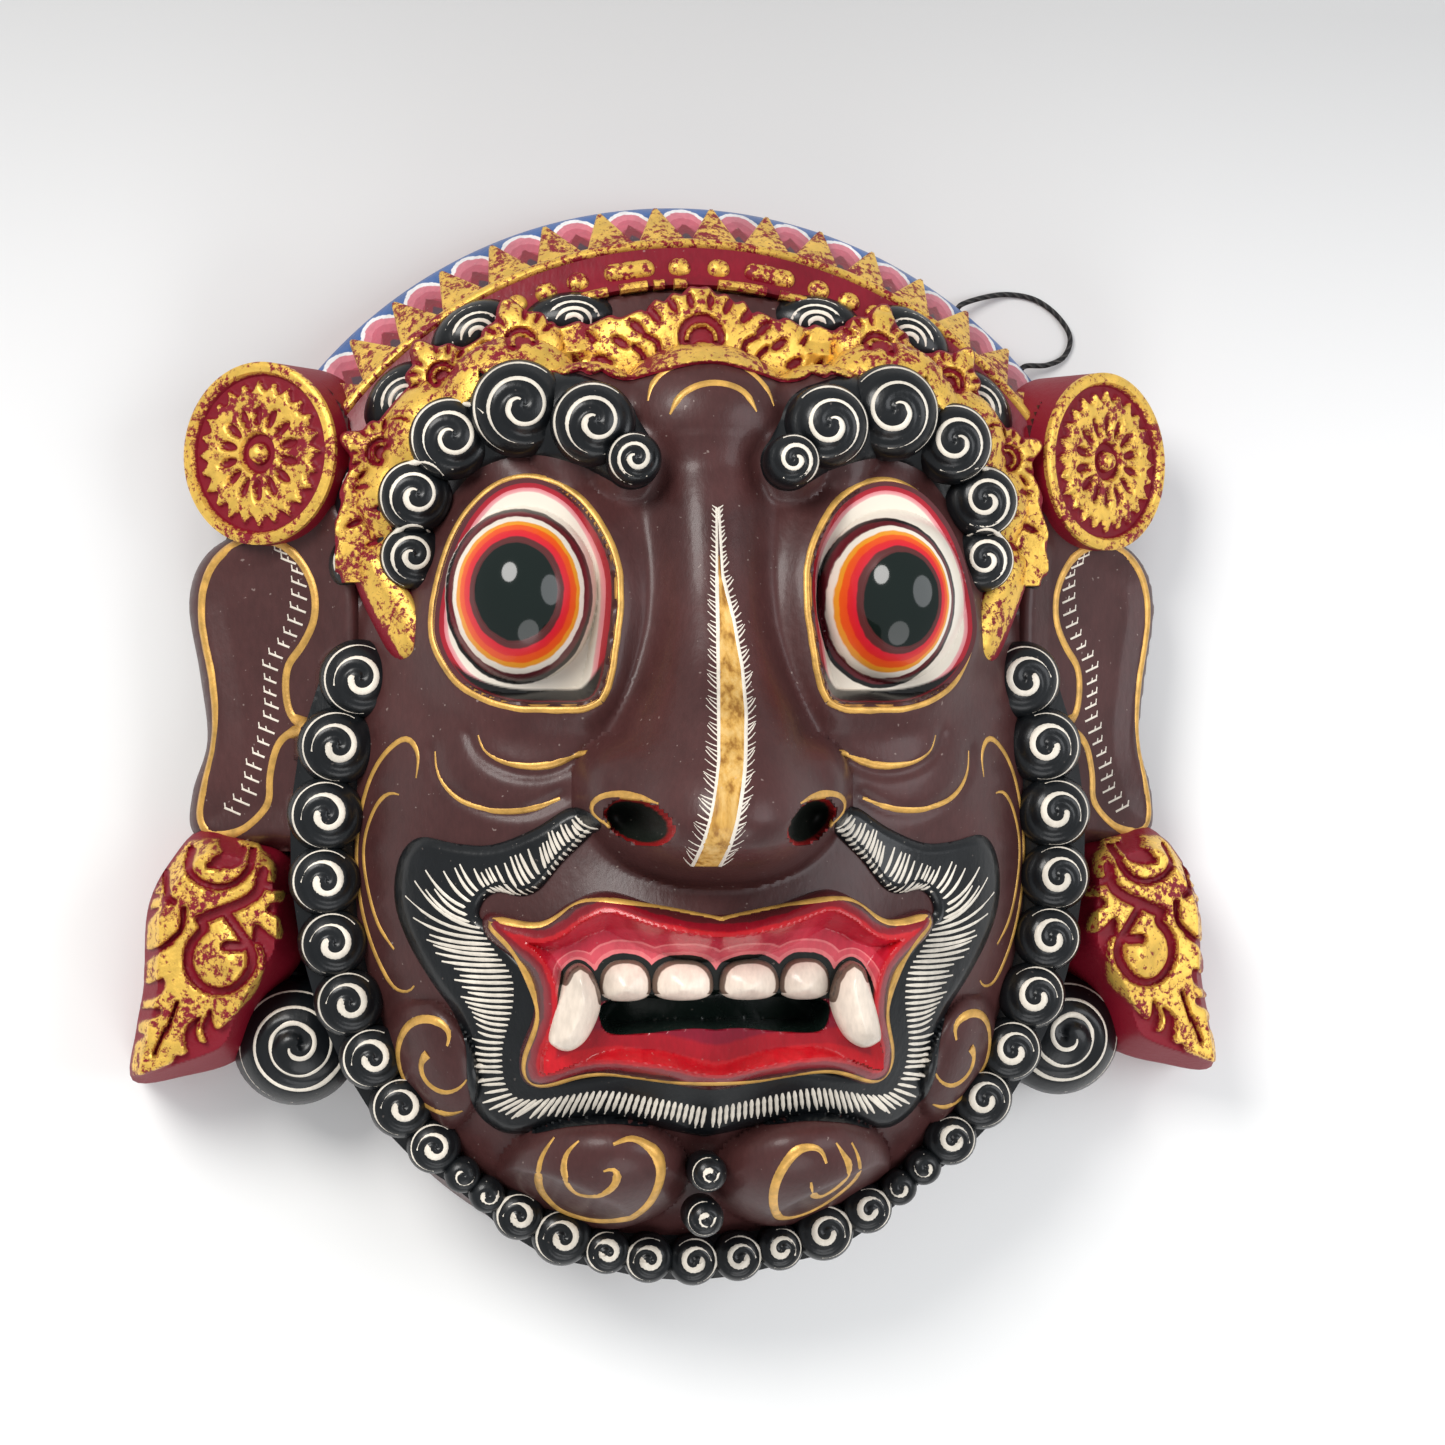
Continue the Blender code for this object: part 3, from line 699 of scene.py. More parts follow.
def brush_lines(name, routes, on, material, sides=8, calm=2):
    """Painted lines laid on pieces; a route is a list of (x, y, half width)."""
    curve = bpy.data.curves.new(name, "CURVE")
    curve.dimensions = "3D"
    for route in routes:
        points = []
        for x, y, half in route:
            met = laid_on(on, x, y)
            if met is not None:
                lower = met[0] - met[1] * half * (LINE_ROUND - LINE_PROUD)
                points.append((*lower, half * LINE_ROUND))
        if len(points) < 3:
            continue
        points = np.array(points)
        for _ in range(calm):
            points[1:-1, :3] = points[1:-1, :3] * 0.5 + (points[:-2, :3] + points[2:, :3]) * 0.25
        points *= MM
        spline = curve.splines.new("POLY")
        spline.points.add(len(points) - 1)
        for target, (px, py, pz, radius) in zip(spline.points, points):
            target.co = (px, py, pz, 1.0)
            target.radius = radius
    thing = grown(name, curve, line_tree, {"Sides": sides, "Material": material})
    print(name, "lines:", len(routes), "faces:", len(thing.data.polygons))
    return thing


def stroke(points, half, closed=False, taper=(0.25, 0.25), blob=0.0, space=1.3, steps=6):
    """A brush stroke through corner points, thinner at its ends, or with a round blob at one."""
    path = rounded([tuple(p) for p in points], closed, steps)
    count = max(4, int(length_of(path) / space) + 1)
    path = even(path, count)
    route = []
    for i, (x, y) in enumerate(path):
        t = i / (count - 1)
        width = half
        if not closed:
            if taper[0] > 0:
                width *= min(1.0, 0.3 + 0.7 * t / taper[0])
            if taper[1] > 0:
                width *= min(1.0, 0.3 + 0.7 * (1 - t) / taper[1])
        if blob:
            width += blob * math.exp(-((1 - t) * length_of(path) / 1.6) ** 2)
        route.append((x, y, width))
    if closed:
        route[-1] = route[0]
    return route


def both_sides(routes):
    """The routes and their mirror images."""
    return routes + [[(-x, y, w) for x, y, w in route] for route in routes]


# %% [markdown]
# ## The carved block
# The main piece is the whole mask from rim to rim with its skin, ears, jaw, sockets and open
# mouth.  The same named sizes and forms shape it as in the solid model, so both agree; curls,
# lips, eyes and gilt work are laid on it afterwards as pieces that sink into the wood.

# %% Sizes and outlines
HEIGHT = 297.0
SKULL_TOP = 92.0
SKULL_REACH_X, SKULL_REACH_Y, SKULL_MIDDLE_Y = 112.0, 150.0, -8.0
JAW_MIDDLE_Y, JAW_REACH_X = -20.0, 112.0
JAW_REACH_Y = HEIGHT / 2 + JAW_MIDDLE_Y
DISC_MIDDLE = (115.5, 77.0)
DISC_RADIUS = 24.5
DISC_LEAN = math.radians(35.0)
DISC_MIDDLE_Z = 38.0
EAR_INNER_Z, EAR_SLOPE, LEAF_MIDDLE_Z = 46.0, 0.62, 44.0
LID_RISE, SOCKET_Z = 5.0, 76.0
EYEBALL_MIDDLE, EYEBALL_REACH = (48.5, 38.0), (20.5, 24.0)
EYEBALL_FOOT_Z, EYEBALL_RISE = 72.0, 28.0
MOUTH_FLOOR_Z = 78.0
HOLLOW_MIDDLE_Y = -8.0
HOLLOW_REACH = (82.0, 119.0, 67.0)
EYE_OUTLINE = ((30, 11), (26, 27), (25, 42), (28, 53), (35, 63), (45, 68), (55, 66), (63, 58),
               (68, 47), (71, 33), (70, 24), (64, 15), (54, 10), (42, 9))
LIP_OUTLINE = ((0, -44), (14, -42), (28, -38), (37, -41), (45, -46), (57, -44), (58, -50),
               (48, -59), (46, -69), (49, -80), (48, -88), (42, -90), (30, -86), (16, -87),
               (0, -90))
EAR_OUTLINE = ((92, 60), (117, 57), (130, 51), (135, 38), (132, 18), (130, 0), (134, -14),
               (134, -25), (124, -29), (112, -28), (92, -24))
LEAF_OUTLINE = ((110, -27), (130, -24), (140, -33), (146, -46), (147, -66), (149, -78),
                (150, -92), (136, -91), (121, -86), (114, -72), (104, -58), (104, -38))
eye_line = rounded(EYE_OUTLINE)
lip_line = across_the_middle(LIP_OUTLINE)
ear_line = rounded(EAR_OUTLINE)
leaf_line = rounded(LEAF_OUTLINE)
print("outlines in mm, round the eye and the lips:",
      [round(length_of(line)) for line in (eye_line, lip_line)])


# %% [markdown]
# ## The skin
# Under all its ornaments the face is a mound with a steep jaw, a hooked nose and ridges for the
# brows.  It could be sculpted by hand, but then the CAD solid and this mesh would drift apart.
# Here every form is a short formula with the sizes of the real carving, so any one of them can
# be asked again later: the moustache band and the lips use the same skin to lie on.

# %% Face and nose
def face_mound(x, y):
    """Forehead, cheeks and jaw as one mound."""
    reach = np.abs(x / SKULL_REACH_X) ** 2.6
    reach = reach + np.abs((y - SKULL_MIDDLE_Y) / SKULL_REACH_Y) ** 2.6
    mound = SKULL_TOP * np.maximum(1.0 - reach, 0.0) ** 0.75
    muzzle = 18.0 * swell(x, y, (0, -64), (50, 31))
    cheeks = 5.0 * (swell(x, y, (58, -8), (19, 17)) + swell(x, y, (-58, -8), (19, 17)))
    sides = 4.0 * (swell(x, y, (78, -40), (16, 26)) + swell(x, y, (-78, -40), (16, 26)))
    return np.where(reach < 1.0, mound + muzzle + cheeks + sides, BELOW)


def jaw_depth(x, y):
    """Distance in from the jaw line; above the ears nothing bounds the mound."""
    ratio = np.hypot(x / JAW_REACH_X, (y - JAW_MIDDLE_Y) / JAW_REACH_Y)
    return np.where(y > 0.0, 60.0, (1.0 - ratio) * JAW_REACH_X)


def jaw_wall(x, y):
    """Wall that runs down from the cheeks and chin to the back rim."""
    depth = jaw_depth(x, y)
    return np.where(depth < 3.0, 4.0 + depth * 6.0, 22.0 + (depth - 3.0) * 3.0)


NOSE_Y = (-40.0, -34.0, -29.0, -22.0, -12.0, 0.0, 20.0, 40.0, 62.0, 80.0)
NOSE_Z = (88.0, 110.0, 127.0, 135.0, 133.0, 123.0, 108.0, 99.0, 93.0, 86.0)


def nose(x, y):
    """Ridge from between the brows to a hooked tip, with a wing on each side."""
    smooth_y = np.linspace(-40.0, 80.0, 121)
    smooth_z = np.convolve(np.pad(np.interp(smooth_y, NOSE_Y, NOSE_Z), 4, "edge"),
                           np.ones(9) / 9, "valid")
    top = np.interp(y, smooth_y, smooth_z, left=BELOW, right=BELOW)
    half_width = np.interp(y, (-40.0, -20.0, 0.0, 30.0, 60.0), (18.0, 21.0, 20.0, 16.0, 17.0))
    field = top - 15.0 * (np.abs(x) / half_width) ** 2.4
    for side in (-1, 1):
        wing = boss(x, y, (side * 22.0, -12.0), (14.5, 15.0), 86.0, 26.0)
        field = smooth_max(field, wing, 9.0)
    return field


tip = float(nose(MIDDLE, MIDDLE - 22.0)[0])
print("nose tip stands", round(tip, 1), "mm over the back rim")

# %% [markdown]
# ## Where the curls stand
# Six locks lie on each brow, and a chain of them runs round the jaw to the chin.  The brow's
# are read off the photo; the jaw's are walked along an arc, each touching the last.

# %% Rows of curls
BROW_CURLS = (
    (76.0, 48.5, 8.0, 66.0), (75.5, 64.0, 9.0, 69.0), (66.5, 79.0, 10.0, 74.0),
    (49.0, 86.5, 11.8, 81.0), (30.5, 82.0, 10.2, 89.0), (20.5, 72.5, 6.5, 93.0))


def beard_chain():
    """Middles, radii and tops of the beard curls, walked along an arc around the jaw."""
    middle_y, reach_x, reach_y = -30.0, 99.0, 110.0
    radii = (9.4, 9.3, 9.0, 8.5, 8.2, 8.2, 7.8, 7.6, 6.4, 4.3, 4.3, 6.0, 7.2, 5.6, 6.0, 6.2)
    angle = math.radians(25.0)
    curls = []
    for i, radius in enumerate(radii):
        px = reach_x * math.cos(angle)
        py = middle_y + reach_y * math.sin(angle)
        curls.append((px, py, radius, 57.0 - 6.0 * (i / (len(radii) - 1)) ** 2))
        if i + 1 < len(radii):
            speed = math.hypot(reach_x * math.sin(angle), reach_y * math.cos(angle))
            angle -= (radius + radii[i + 1]) / speed
    return curls


beard = beard_chain()
print("curls on a brow:", len(BROW_CURLS), "and down one side of the jaw:", len(beard))


# %% [markdown]
# ## Brows, sockets, chin and cheeks
# The rest of the skin is added to the mound with the nose: ridges, sockets, bosses and the
# grooves of the cheeks.  Adding forms one by one keeps each of them easy to move.

# %% Forms of the skin
BROW_RIDGE_REACH, BROW_RIDGE_DROP, BROW_RIDGE_RISE = 1.7, 18.0, 12.0


def skin_before_eyes(x, y):
    """Face, forehead boss and brow ridges."""
    skin = face_mound(x, y)
    skin = smooth_max(skin, boss(x, y, (0, 84), (25, 21), 66.0, 24.0), 8.0)
    for px, py, radius, top in BROW_CURLS:
        for side in (-1, 1):
            ridge = boss(x, y, (side * px, py), (radius * BROW_RIDGE_REACH,) * 2,
                         top - BROW_RIDGE_DROP, BROW_RIDGE_RISE)
            skin = smooth_max(skin, ridge, 5.0)
    return skin


def lids(x, y, skin):
    """Skin with the raised lids round both eyes."""
    for side in (-1, 1):
        depth = depth_inside(x * side, y, eye_line)
        skin = skin + LID_RISE * np.exp(-(np.minimum(depth, 0.0) / 6.0) ** 2)
    return skin


def bulbs(x, y):
    """Smooth round bosses: two on the chin and one low on each cheek."""
    rise = np.zeros(x.shape)
    for side in (-1, 1):
        chin = boss(x, y, (side * 28.0, -115.0), (25.0, 17.0), 0.0, 22.0)
        cheek = boss(x, y, (side * 71.0, -86.0), (11.5, 18.5), 0.0, 9.0, side * -0.25)
        rise = rise + np.maximum(np.maximum(chin, cheek), 0.0)
    return rise


NOSTRIL_DEEP = 16.0


def nostrils(x, y):
    """How deep the nostrils are at a point."""
    depth = np.zeros(x.shape)
    for side in (-1, 1):
        depth += np.maximum(
            boss(x, y, (side * 21.8, -20.0), (7.8, 5.0), 0.0, NOSTRIL_DEEP, side * 0.45), 0)
    return depth


GROOVE_DEEP, GROOVE_HALF = 1.2, 1.8
LINES_CUT = (
    ((62, 2), (59, -4), (51, -8), (42, -8), (32, -3)),
    ((71, -2), (70, -8), (65, -14), (56, -18), (47, -18), (39, -14)))


def skin_field(x, y):
    """The face without its moustache band, lips and eyes."""
    skin = lids(x, y, skin_before_eyes(x, y))
    skin = skin + bulbs(x, y)
    for corners in LINES_CUT:
        away = distance_to_path(np.abs(x), y, rounded(corners, closed=False))
        skin = skin - GROOVE_DEEP * np.exp(-(away / GROOVE_HALF) ** 2)
    skin = smooth_max(skin, nose(x, y), 6.0) - nostrils(x, y)
    return np.minimum(skin, jaw_wall(x, y))


print("skin between the brows stands",
      round(float(skin_field(MIDDLE, MIDDLE + 80.0)[0]), 1), "mm over the back rim")


# %% [markdown]
# ## From the skin to the block
# The block is everything the carver leaves in one piece: skin, ears, the stepped bed of the
# crown and low beds for the discs, curls and pendants.  Its rim is the union of their outlines.
# A union of ready solids would need clean Booleans; taking the highest of several fields can't
# fail and gives the same soft valleys as a gouge does.

# %% Ears and block
def ears(x, y):
    """Long ear lobes that slope outwards, with a rolled edge."""
    right = np.abs(x)
    depth = depth_inside(right, y, ear_line)
    slope = EAR_INNER_Z - (right - 97.0) * EAR_SLOPE
    dish = slope - 1.5 * np.clip((depth - 4.0) / 6.0, 0, 1)
    return np.where(depth > -1.5, dish - soft_edge(np.maximum(depth, 0), 4.0) * 1.4, BELOW)


def block_depth(x, y):
    """Distance in from the rim of the whole mask."""
    right = np.abs(x)
    radius = np.hypot(x, y - CROWN_MIDDLE_Y)
    arch = np.minimum(CROWN_RADIUS - 0.8 - radius, y - 28.0)
    disc = (DISC_RADIUS - 1.0) * (1.0 - np.hypot(
        (right - DISC_MIDDLE[0] + 6.0) / ((DISC_RADIUS - 1.0) * math.cos(DISC_LEAN)),
        (y - DISC_MIDDLE[1]) / (DISC_RADIUS - 1.0)))
    depth = np.maximum(arch, disc)
    depth = np.maximum(depth, np.where(y > 0, -50.0, jaw_depth(x, y) - 0.35))
    temple = 112.0 - right - np.maximum(y - 40, 0)
    depth = np.maximum(depth, np.where((y > 0) & (y < 125), temple, -50.0))
    depth = np.maximum(depth, depth_inside(right, y, ear_line))
    depth = np.maximum(depth, depth_inside(right, y, leaf_line) - 0.8)
    depth = np.maximum(depth, 9.0 - np.hypot(right - 107.0, y + 63.0))
    return np.maximum(depth, 16.5 - np.hypot(right - 106.0, y + 82.0))


def block_top(x, y):
    """Height of the carved block under the pieces that are laid on it."""
    skin = skin_field(x, y)
    for side in (-1, 1):
        depth = depth_inside(x * side, y, eye_line)
        skin = skin - (LID_RISE + 22.0) * np.clip((depth - 0.9) / 3.0, 0, 1)
    mouth = depth_inside(x, y, lip_line)
    skin = np.where(mouth > 5.0, np.maximum(skin - 14.0 * (mouth - 5.0), MOUTH_FLOOR_Z - 3.0), skin)
    bed = np.full(x.shape, BELOW)
    for px, py, radius, top in beard:
        for side in (-1, 1):
            bed = np.maximum(bed, boss(x, y, (side * px, py), (radius * 1.15,) * 2,
                                       top - 13.0, 8.0))
    bed = np.minimum(bed, 6.0 + jaw_depth(x, y) * 8.0)
    radius = np.hypot(x, y - CROWN_MIDDLE_Y)
    arch = np.interp(radius, (80.0, 86.0, 96.0, 103.5, 105.5, 116.0, 119.0, 131.0),
                     (40.0, 57.0, 52.5, 49.5, 43.0, 38.0, 32.0, 10.0))
    arch = arch - 1.3 * np.maximum(62.0 - y, 0)
    arch = np.where((radius > 80.0) & (y > 28.0), arch, BELOW)
    side_wood = np.where((np.abs(x) < 113.0) & (y > -30) & (y < 62), 30.0, BELOW)
    leaf = np.minimum(8.0 + 3.0 * np.maximum(depth_inside(np.abs(x), y, leaf_line), 0), 26.0)
    leaf = np.where(depth_inside(np.abs(x), y, leaf_line) > -2, leaf, BELOW)
    disc = DISC_MIDDLE_Z - 7.0 - (np.abs(x) - DISC_MIDDLE[0]) * math.tan(DISC_LEAN)
    disc = np.where(np.hypot((np.abs(x) - 111.0) / 0.85, y - 77.0) < 23.5, disc, BELOW)
    low = np.where(np.hypot(np.abs(x) - 106.0, y + 82.0) < 18.5, 10.0, BELOW)
    field = skin
    for form in (bed, arch, side_wood, leaf, disc, low, ears(x, y)):
        field = np.maximum(field, form)
    return np.maximum(field, 5.0)


print("block is", round(float(block_top(MIDDLE, MIDDLE)[0]), 1), "mm thick at its middle")


# %% [markdown]
# ## Hollow back
# The back is scooped out so that the mask is light and dries without cracks.  The scoop is half
# an ellipsoid; its points crowd towards the steep rim, where a regular grid would leave steps.

# %% Hollow
def hollow(x, y):
    """Height of the dome that is scooped out of the back."""
    ratio = (x / HOLLOW_REACH[0]) ** 2 + ((y - HOLLOW_MIDDLE_Y) / HOLLOW_REACH[1]) ** 2
    return HOLLOW_REACH[2] * np.sqrt(np.maximum(1.0 - ratio, 0.0)) + 0.05


def hollow_points(rings=18, segments=64):
    """Points over the dome, denser towards its steep rim."""
    points = []
    for ring in range(rings + 1):
        reach = math.sin(math.pi / 2 * ring / rings)
        for k in range(segments if ring else 1):
            turn = 2 * math.pi * k / segments
            points.append((HOLLOW_REACH[0] * reach * math.cos(turn),
                           HOLLOW_MIDDLE_Y + HOLLOW_REACH[1] * reach * math.sin(turn)))
    return points


print("hollow reaches", round(float(hollow(MIDDLE, MIDDLE + HOLLOW_MIDDLE_Y)[0]), 1),
      "mm into the block")


# %% [markdown]
# ## Paint of the block
# The block is painted brown, with red inside the nostrils that darkens to near black deeper in,
# the black being painted shade of the deep holes, and a gold strip down the nose.  An image
# could carry that, but the edges would blur; instead the mesh stores how deep each point lies in
# a nostril or in the strip, and the material turns that into colour.

# %% Body material
STRIP_Y = (-34.0, -27.0, -16.0, -4.4, 7.3, 19.0, 31.0, 42.6, 61.0)
STRIP_X = (-5.8, -4.6, -2.2, 0.2, 1.5, 2.1, 1.7, 0.7, 0.8)
STRIP_HALF = (3.1, 3.2, 3.1, 3.1, 3.3, 2.9, 1.9, 0.5, 0.0)


def nose_strip(x, y):
    """Distance inside the gold strip down the nose."""
    inside = np.interp(y, STRIP_Y, STRIP_HALF) - np.abs(x - np.interp(y, STRIP_Y, STRIP_X))
    return np.minimum(inside, np.minimum(y + 31.0, 48.0 - y))


body_paint, tree, shader = shader_of("brown_skin_paint")
# Red paint inside the nostrils that turns near black deeper in: the black is painted shade of the deep
# holes.
dark = ramp(tree, attribute(tree, "nostril"), (
    (0.0, BROWN), (0.045, BROWN), (0.05, (0.32, 0.01, 0.012)), (0.30, (0.25, 0.01, 0.01)),
    (0.45, (0.012, 0.016, 0.012)), (1.0, (0.008, 0.01, 0.008))))
brushed = ramp(tree, noise(tree, 2.4, 3.0, 0.6, (1.0, 0.12, 1.0)), (
    (0.35, (0.34, 0.15, 0.022)), (0.5, GOLD_PAINT), (0.65, (0.78, 0.50, 0.17))))
dark = mix(tree, step_up(tree, attribute(tree, "strip"), 0.0, 0.1), dark, brushed)
finish_paint(tree, shader, dark, 0.4, 0.1)

bare_wood, tree, shader = shader_of("bare_gouged_wood")
grain = noise(tree, 3.0, 4.0, 0.6, (1.0, 0.08, 1.0))
tree.links.new(ramp(tree, grain, ((0.3, (0.22, 0.13, 0.07)), (0.7, (0.40, 0.27, 0.16)))),
               shader.inputs["Base Color"])
shader.inputs["Roughness"].default_value = 0.75
bumped(tree, shader, noise(tree, 7.0, 2.0, 0.4), 1.2)

BODY_STEP = 0.95
body = relief("carved_block", (-151.5, 151.5, -149.5, 149.5), BODY_STEP, block_depth, block_top,
              hollow, hollow_points(),
              {"nostril": lambda x, y: nostrils(x, y) / NOSTRIL_DEEP, "strip": nose_strip},
              body_paint, bare_wood)
keep(body)

# %% [markdown]
# ## Gilded carving
# The carver cuts a pattern, paints everything crimson and lays gold leaf on what stands up.  So
# one number per point says how far it is inside the gilded part; it gives both the height of
# the carving and the ragged edge of the leaf.

# %% Gilded carving finish
RAGGED = 1.5
WALL_MARGIN = 0.7
gilded, tree, shader = shader_of("gilded_carving")
ragged = math_node(tree, "SUBTRACT", noise(tree, 0.9, 3.0, 0.7), 0.5)
ragged = math_node(tree, "MULTIPLY", ragged, RAGGED)
inside = step_up(tree, math_node(tree, "ADD", attribute(tree, "gilt"), ragged), 0.0, 0.12)
lay_leaf(tree, shader, CRIMSON, CARVING_WEAR, inside)
print("leaf ends", WALL_MARGIN, "mm inside a carving's edge, give or take", RAGGED / 2)


def raised(gilt, height=1.8, width=1.0):
    """Height of the carving from the distance inside its gilded part."""
    t = np.clip(gilt / width + 0.5, 0, 1)
    return height * t * t * (3 - 2 * t)


def cut_lines(x, y, cuts):
    """Distance outside the nearest cut; a cut is (half width, corner points)."""
    field = np.full(x.shape, 50.0)
    for half, corners in cuts:
        path = rounded(corners, closed=False, steps=4) if len(corners) > 2 else list(corners)
        field = np.minimum(field, distance_to_path(x, y, path) - half)
    return field


def drops(x, y, spots):
    """Distance outside the nearest drop; a drop is (x, y, half width, half length, direction)."""
    field = np.full(x.shape, 50.0)
    for px, py, half, length, turn in spots:
        along = (x - px) * math.cos(turn) + (y - py) * math.sin(turn)
        across = (y - py) * math.cos(turn) - (x - px) * math.sin(turn)
        field = np.minimum(field, (np.hypot(along / length, across / half) - 1.0) * half)
    return field


# %% [markdown]
# ## Crown
# The arch over the head is turned work in spirit: each step of it is one section carried round
# the same middle.  The scalloped petals are only painted, so the two distances that draw them
# (from the petal's arc and from its pointed core) are stored on the mesh.

# %% Crown arch
CROWN_END = 61.0
BAR_STEP, PETAL_STEP = 0.55, 0.45


def swept_band(name, section, start, end, material, fields=None, step=BAR_STEP):
    """A closed bar: a section of (radius, height) points carried round the crown's middle."""
    count = max(3, int((end - start) / step) + 1)
    turns = np.radians(np.linspace(start, end, count))
    reach, height = np.array(section, dtype=float).T
    x = np.sin(turns)[:, None] * reach[None, :]
    y = CROWN_MIDDLE_Y + np.cos(turns)[:, None] * reach[None, :]
    z = np.broadcast_to(height[None, :], x.shape)
    width = len(section)
    faces = [(i * width + j, i * width + (j + 1) % width, (i + 1) * width + (j + 1) % width,
              (i + 1) * width + j) for i in range(count - 1) for j in range(width)]
    faces.append(tuple(range(width - 1, -1, -1)))
    faces.append(tuple((count - 1) * width + j for j in range(width)))
    verts = np.stack((x, y, z), axis=-1).reshape(-1, 3)
    mesh = bpy.data.meshes.new(name)
    mesh.from_pydata((verts * MM).tolist(), [], faces)
    for label, field in (fields or {}).items():
        store(mesh, label, field(verts))
    shape = bmesh.new()
    shape.from_mesh(mesh)
    bmesh.ops.recalc_face_normals(shape, faces=shape.faces[:])
    shape.to_mesh(mesh)
    shape.free()
    mesh.materials.append(material)
    mesh.shade_smooth()
    mesh.set_sharp_from_angle(angle=math.radians(CARVED_EDGE))
    return link(bpy.data.objects.new(name, mesh))


# %% [markdown]
# ## Painted petals of the crown
# Under the gilt points the crown's slope is painted with petals in rose, white and blue.  An
# image could be laid on; two numbers, stored for each point, keep the edges crisp instead.

# %% Painted petals
POINT_STEP = 6.9
POINT_FOOT_R = 117.0


def petal_place(verts):
    """Distance along and out from the middle of the nearest petal's foot."""
    reach = np.hypot(verts[:, 0], verts[:, 1] - CROWN_MIDDLE_Y)
    turn = np.degrees(np.arctan2(verts[:, 0], verts[:, 1] - CROWN_MIDDLE_Y))
    aside = np.radians(turn - np.round(turn / POINT_STEP) * POINT_STEP) * reach
    return aside, reach - POINT_FOOT_R


def petal_arc(verts):
    """1 on the petal's rounded edge, more outside it."""
    aside, out = petal_place(verts)
    arc = np.hypot(aside / 9.0, out / 13.4)
    return np.where(verts[:, 2] < 13.0, 2.0, arc) * 0.5


def petal_core(verts):
    """1 on the edge of the petal's pointed crimson core."""
    aside, out = petal_place(verts)
    return (np.abs(aside) / 6.4 + out / 8.6) * 0.5


petals, tree, shader = shader_of("painted_petals")
arc, wobble = wavering(tree, "arc", 3.0, 0.05)
core = math_node(tree, "ADD", attribute(tree, "core"), wobble)
PETAL_DEEP, PETAL_ROSE, PETAL_PINK = (0.36, 0.03, 0.06), (0.50, 0.095, 0.14), (0.62, 0.17, 0.22)
PETAL_WHITE, PETAL_BLUE = (0.85, 0.84, 0.84), (0.02, 0.10, 0.33)
colour = ramp(tree, arc, (
    (0.0, PETAL_DEEP), (0.27, PETAL_DEEP), (0.275, PETAL_ROSE), (0.375, PETAL_ROSE),
    (0.38, PETAL_PINK), (0.455, PETAL_PINK), (0.46, PETAL_WHITE), (0.50, PETAL_WHITE),
    (0.505, PETAL_BLUE), (0.80, PETAL_BLUE), (0.85, CRIMSON)))
colour = mix(tree, step_up(tree, core, 0.5, 0.012), CRIMSON, colour)
colour = mix(tree, step_up(tree, core, 0.31, 0.012), (0.055, 0.018, 0.035), colour)
finish_paint(tree, shader, colour, 0.34)

# %% [markdown]
# ## Slope, rope and strips
# The crown is built of bars that all follow one arch: the petals' slope, a gilt rope, the
# beads' red bed and gilt strips.  Each has its own section and is carried round the arch.

# %% Crown bars
scallop_section = [(115.0, 41.0)]
scallop_section += [(r, 38.5 - (r - 117.0) * 1.55) for r in np.arange(117.0, 129.6, 0.9)]
scallop_section += [(130.3, 16.5), (131.0, 14.5), (131.0, 12.0), (131.0, 0.2), (115.0, 0.2)]
keep(swept_band("crown_petals", scallop_section, -CROWN_END, CROWN_END, petals,
                {"arc": petal_arc, "core": petal_core}, PETAL_STEP))

rope_section = [(117.2 + 1.7 * math.sin(a), 41.8 + 2.2 * math.cos(a)) for a in
                [2 * math.pi * k / 12 for k in range(12)]]
keep(swept_band("crown_rope", rope_section, -CROWN_END, CROWN_END, gold_leaf))

band_section = [(104.6, 44.0), (104.8, 47.6), (105.6, 48.6), (107.0, 48.2), (109.0, 46.4),
                (113.0, 45.2), (116.0, 44.6), (116.3, 36.0), (104.6, 36.0)]
keep(swept_band("crown_bead_band", band_section, -CROWN_END, CROWN_END, crimson_paint))

STRIPS = ((-22.2, -12.8), (-10.9, -6.9), (-5.9, -4.4), (-2.9, -1.1), (3.6, 10.7), (12.8, 22.2),
          (24.0, 31.0), (-31.0, -24.0))
strip_section = [(104.3, 47.0), (104.4, 51.0), (105.2, 51.7), (106.4, 51.3), (107.0, 50.2),
                 (107.0, 46.0)]
for i, (start, end) in enumerate(STRIPS):
    keep(swept_band(f"crown_strip_{i + 1}", strip_section, start, end, gold_leaf))
print("crown built, strips:", len(STRIPS))

# %% [markdown]
# ## Crown points and beads
# Eighteen gilt points stand on the crown, each a wedge with a low ridge, and beads lie in the
# groove under them.  They could be copied by hand or with an array along a curve; one wedge
# and two beads are shaped once here, and the small tree sets them round the arch, so a change
# of step or size moves them all.

# %% Points and beads
def hull_piece(name, points, bevel, segments=2):
    """A closed convex piece from its corners, with its edges softened."""
    shape = bmesh.new()
    for point in points:
        shape.verts.new([c * MM for c in point])
    made = bmesh.ops.convex_hull(shape, input=shape.verts[:])
    waste = set(made["geom_interior"] + made["geom_unused"])
    bmesh.ops.delete(shape, geom=[g for g in waste if isinstance(g, bmesh.types.BMVert)],
                     context="VERTS")
    bmesh.ops.dissolve_limit(shape, angle_limit=math.radians(2), verts=shape.verts[:],
                             edges=shape.edges[:])
    bmesh.ops.bevel(shape, geom=shape.edges[:], offset=bevel * MM, segments=segments,
                    affect="EDGES", clamp_overlap=True)
    bmesh.ops.recalc_face_normals(shape, faces=shape.faces[:])
    if shape.calc_volume(signed=True) < 0:
        bmesh.ops.reverse_faces(shape, faces=shape.faces[:])
    mesh = bpy.data.meshes.new(name)
    shape.to_mesh(mesh)
    shape.free()
    mesh.shade_smooth()
    mesh.set_sharp_from_angle(angle=math.radians(60.0))
    return bpy.data.objects.new(name, mesh)


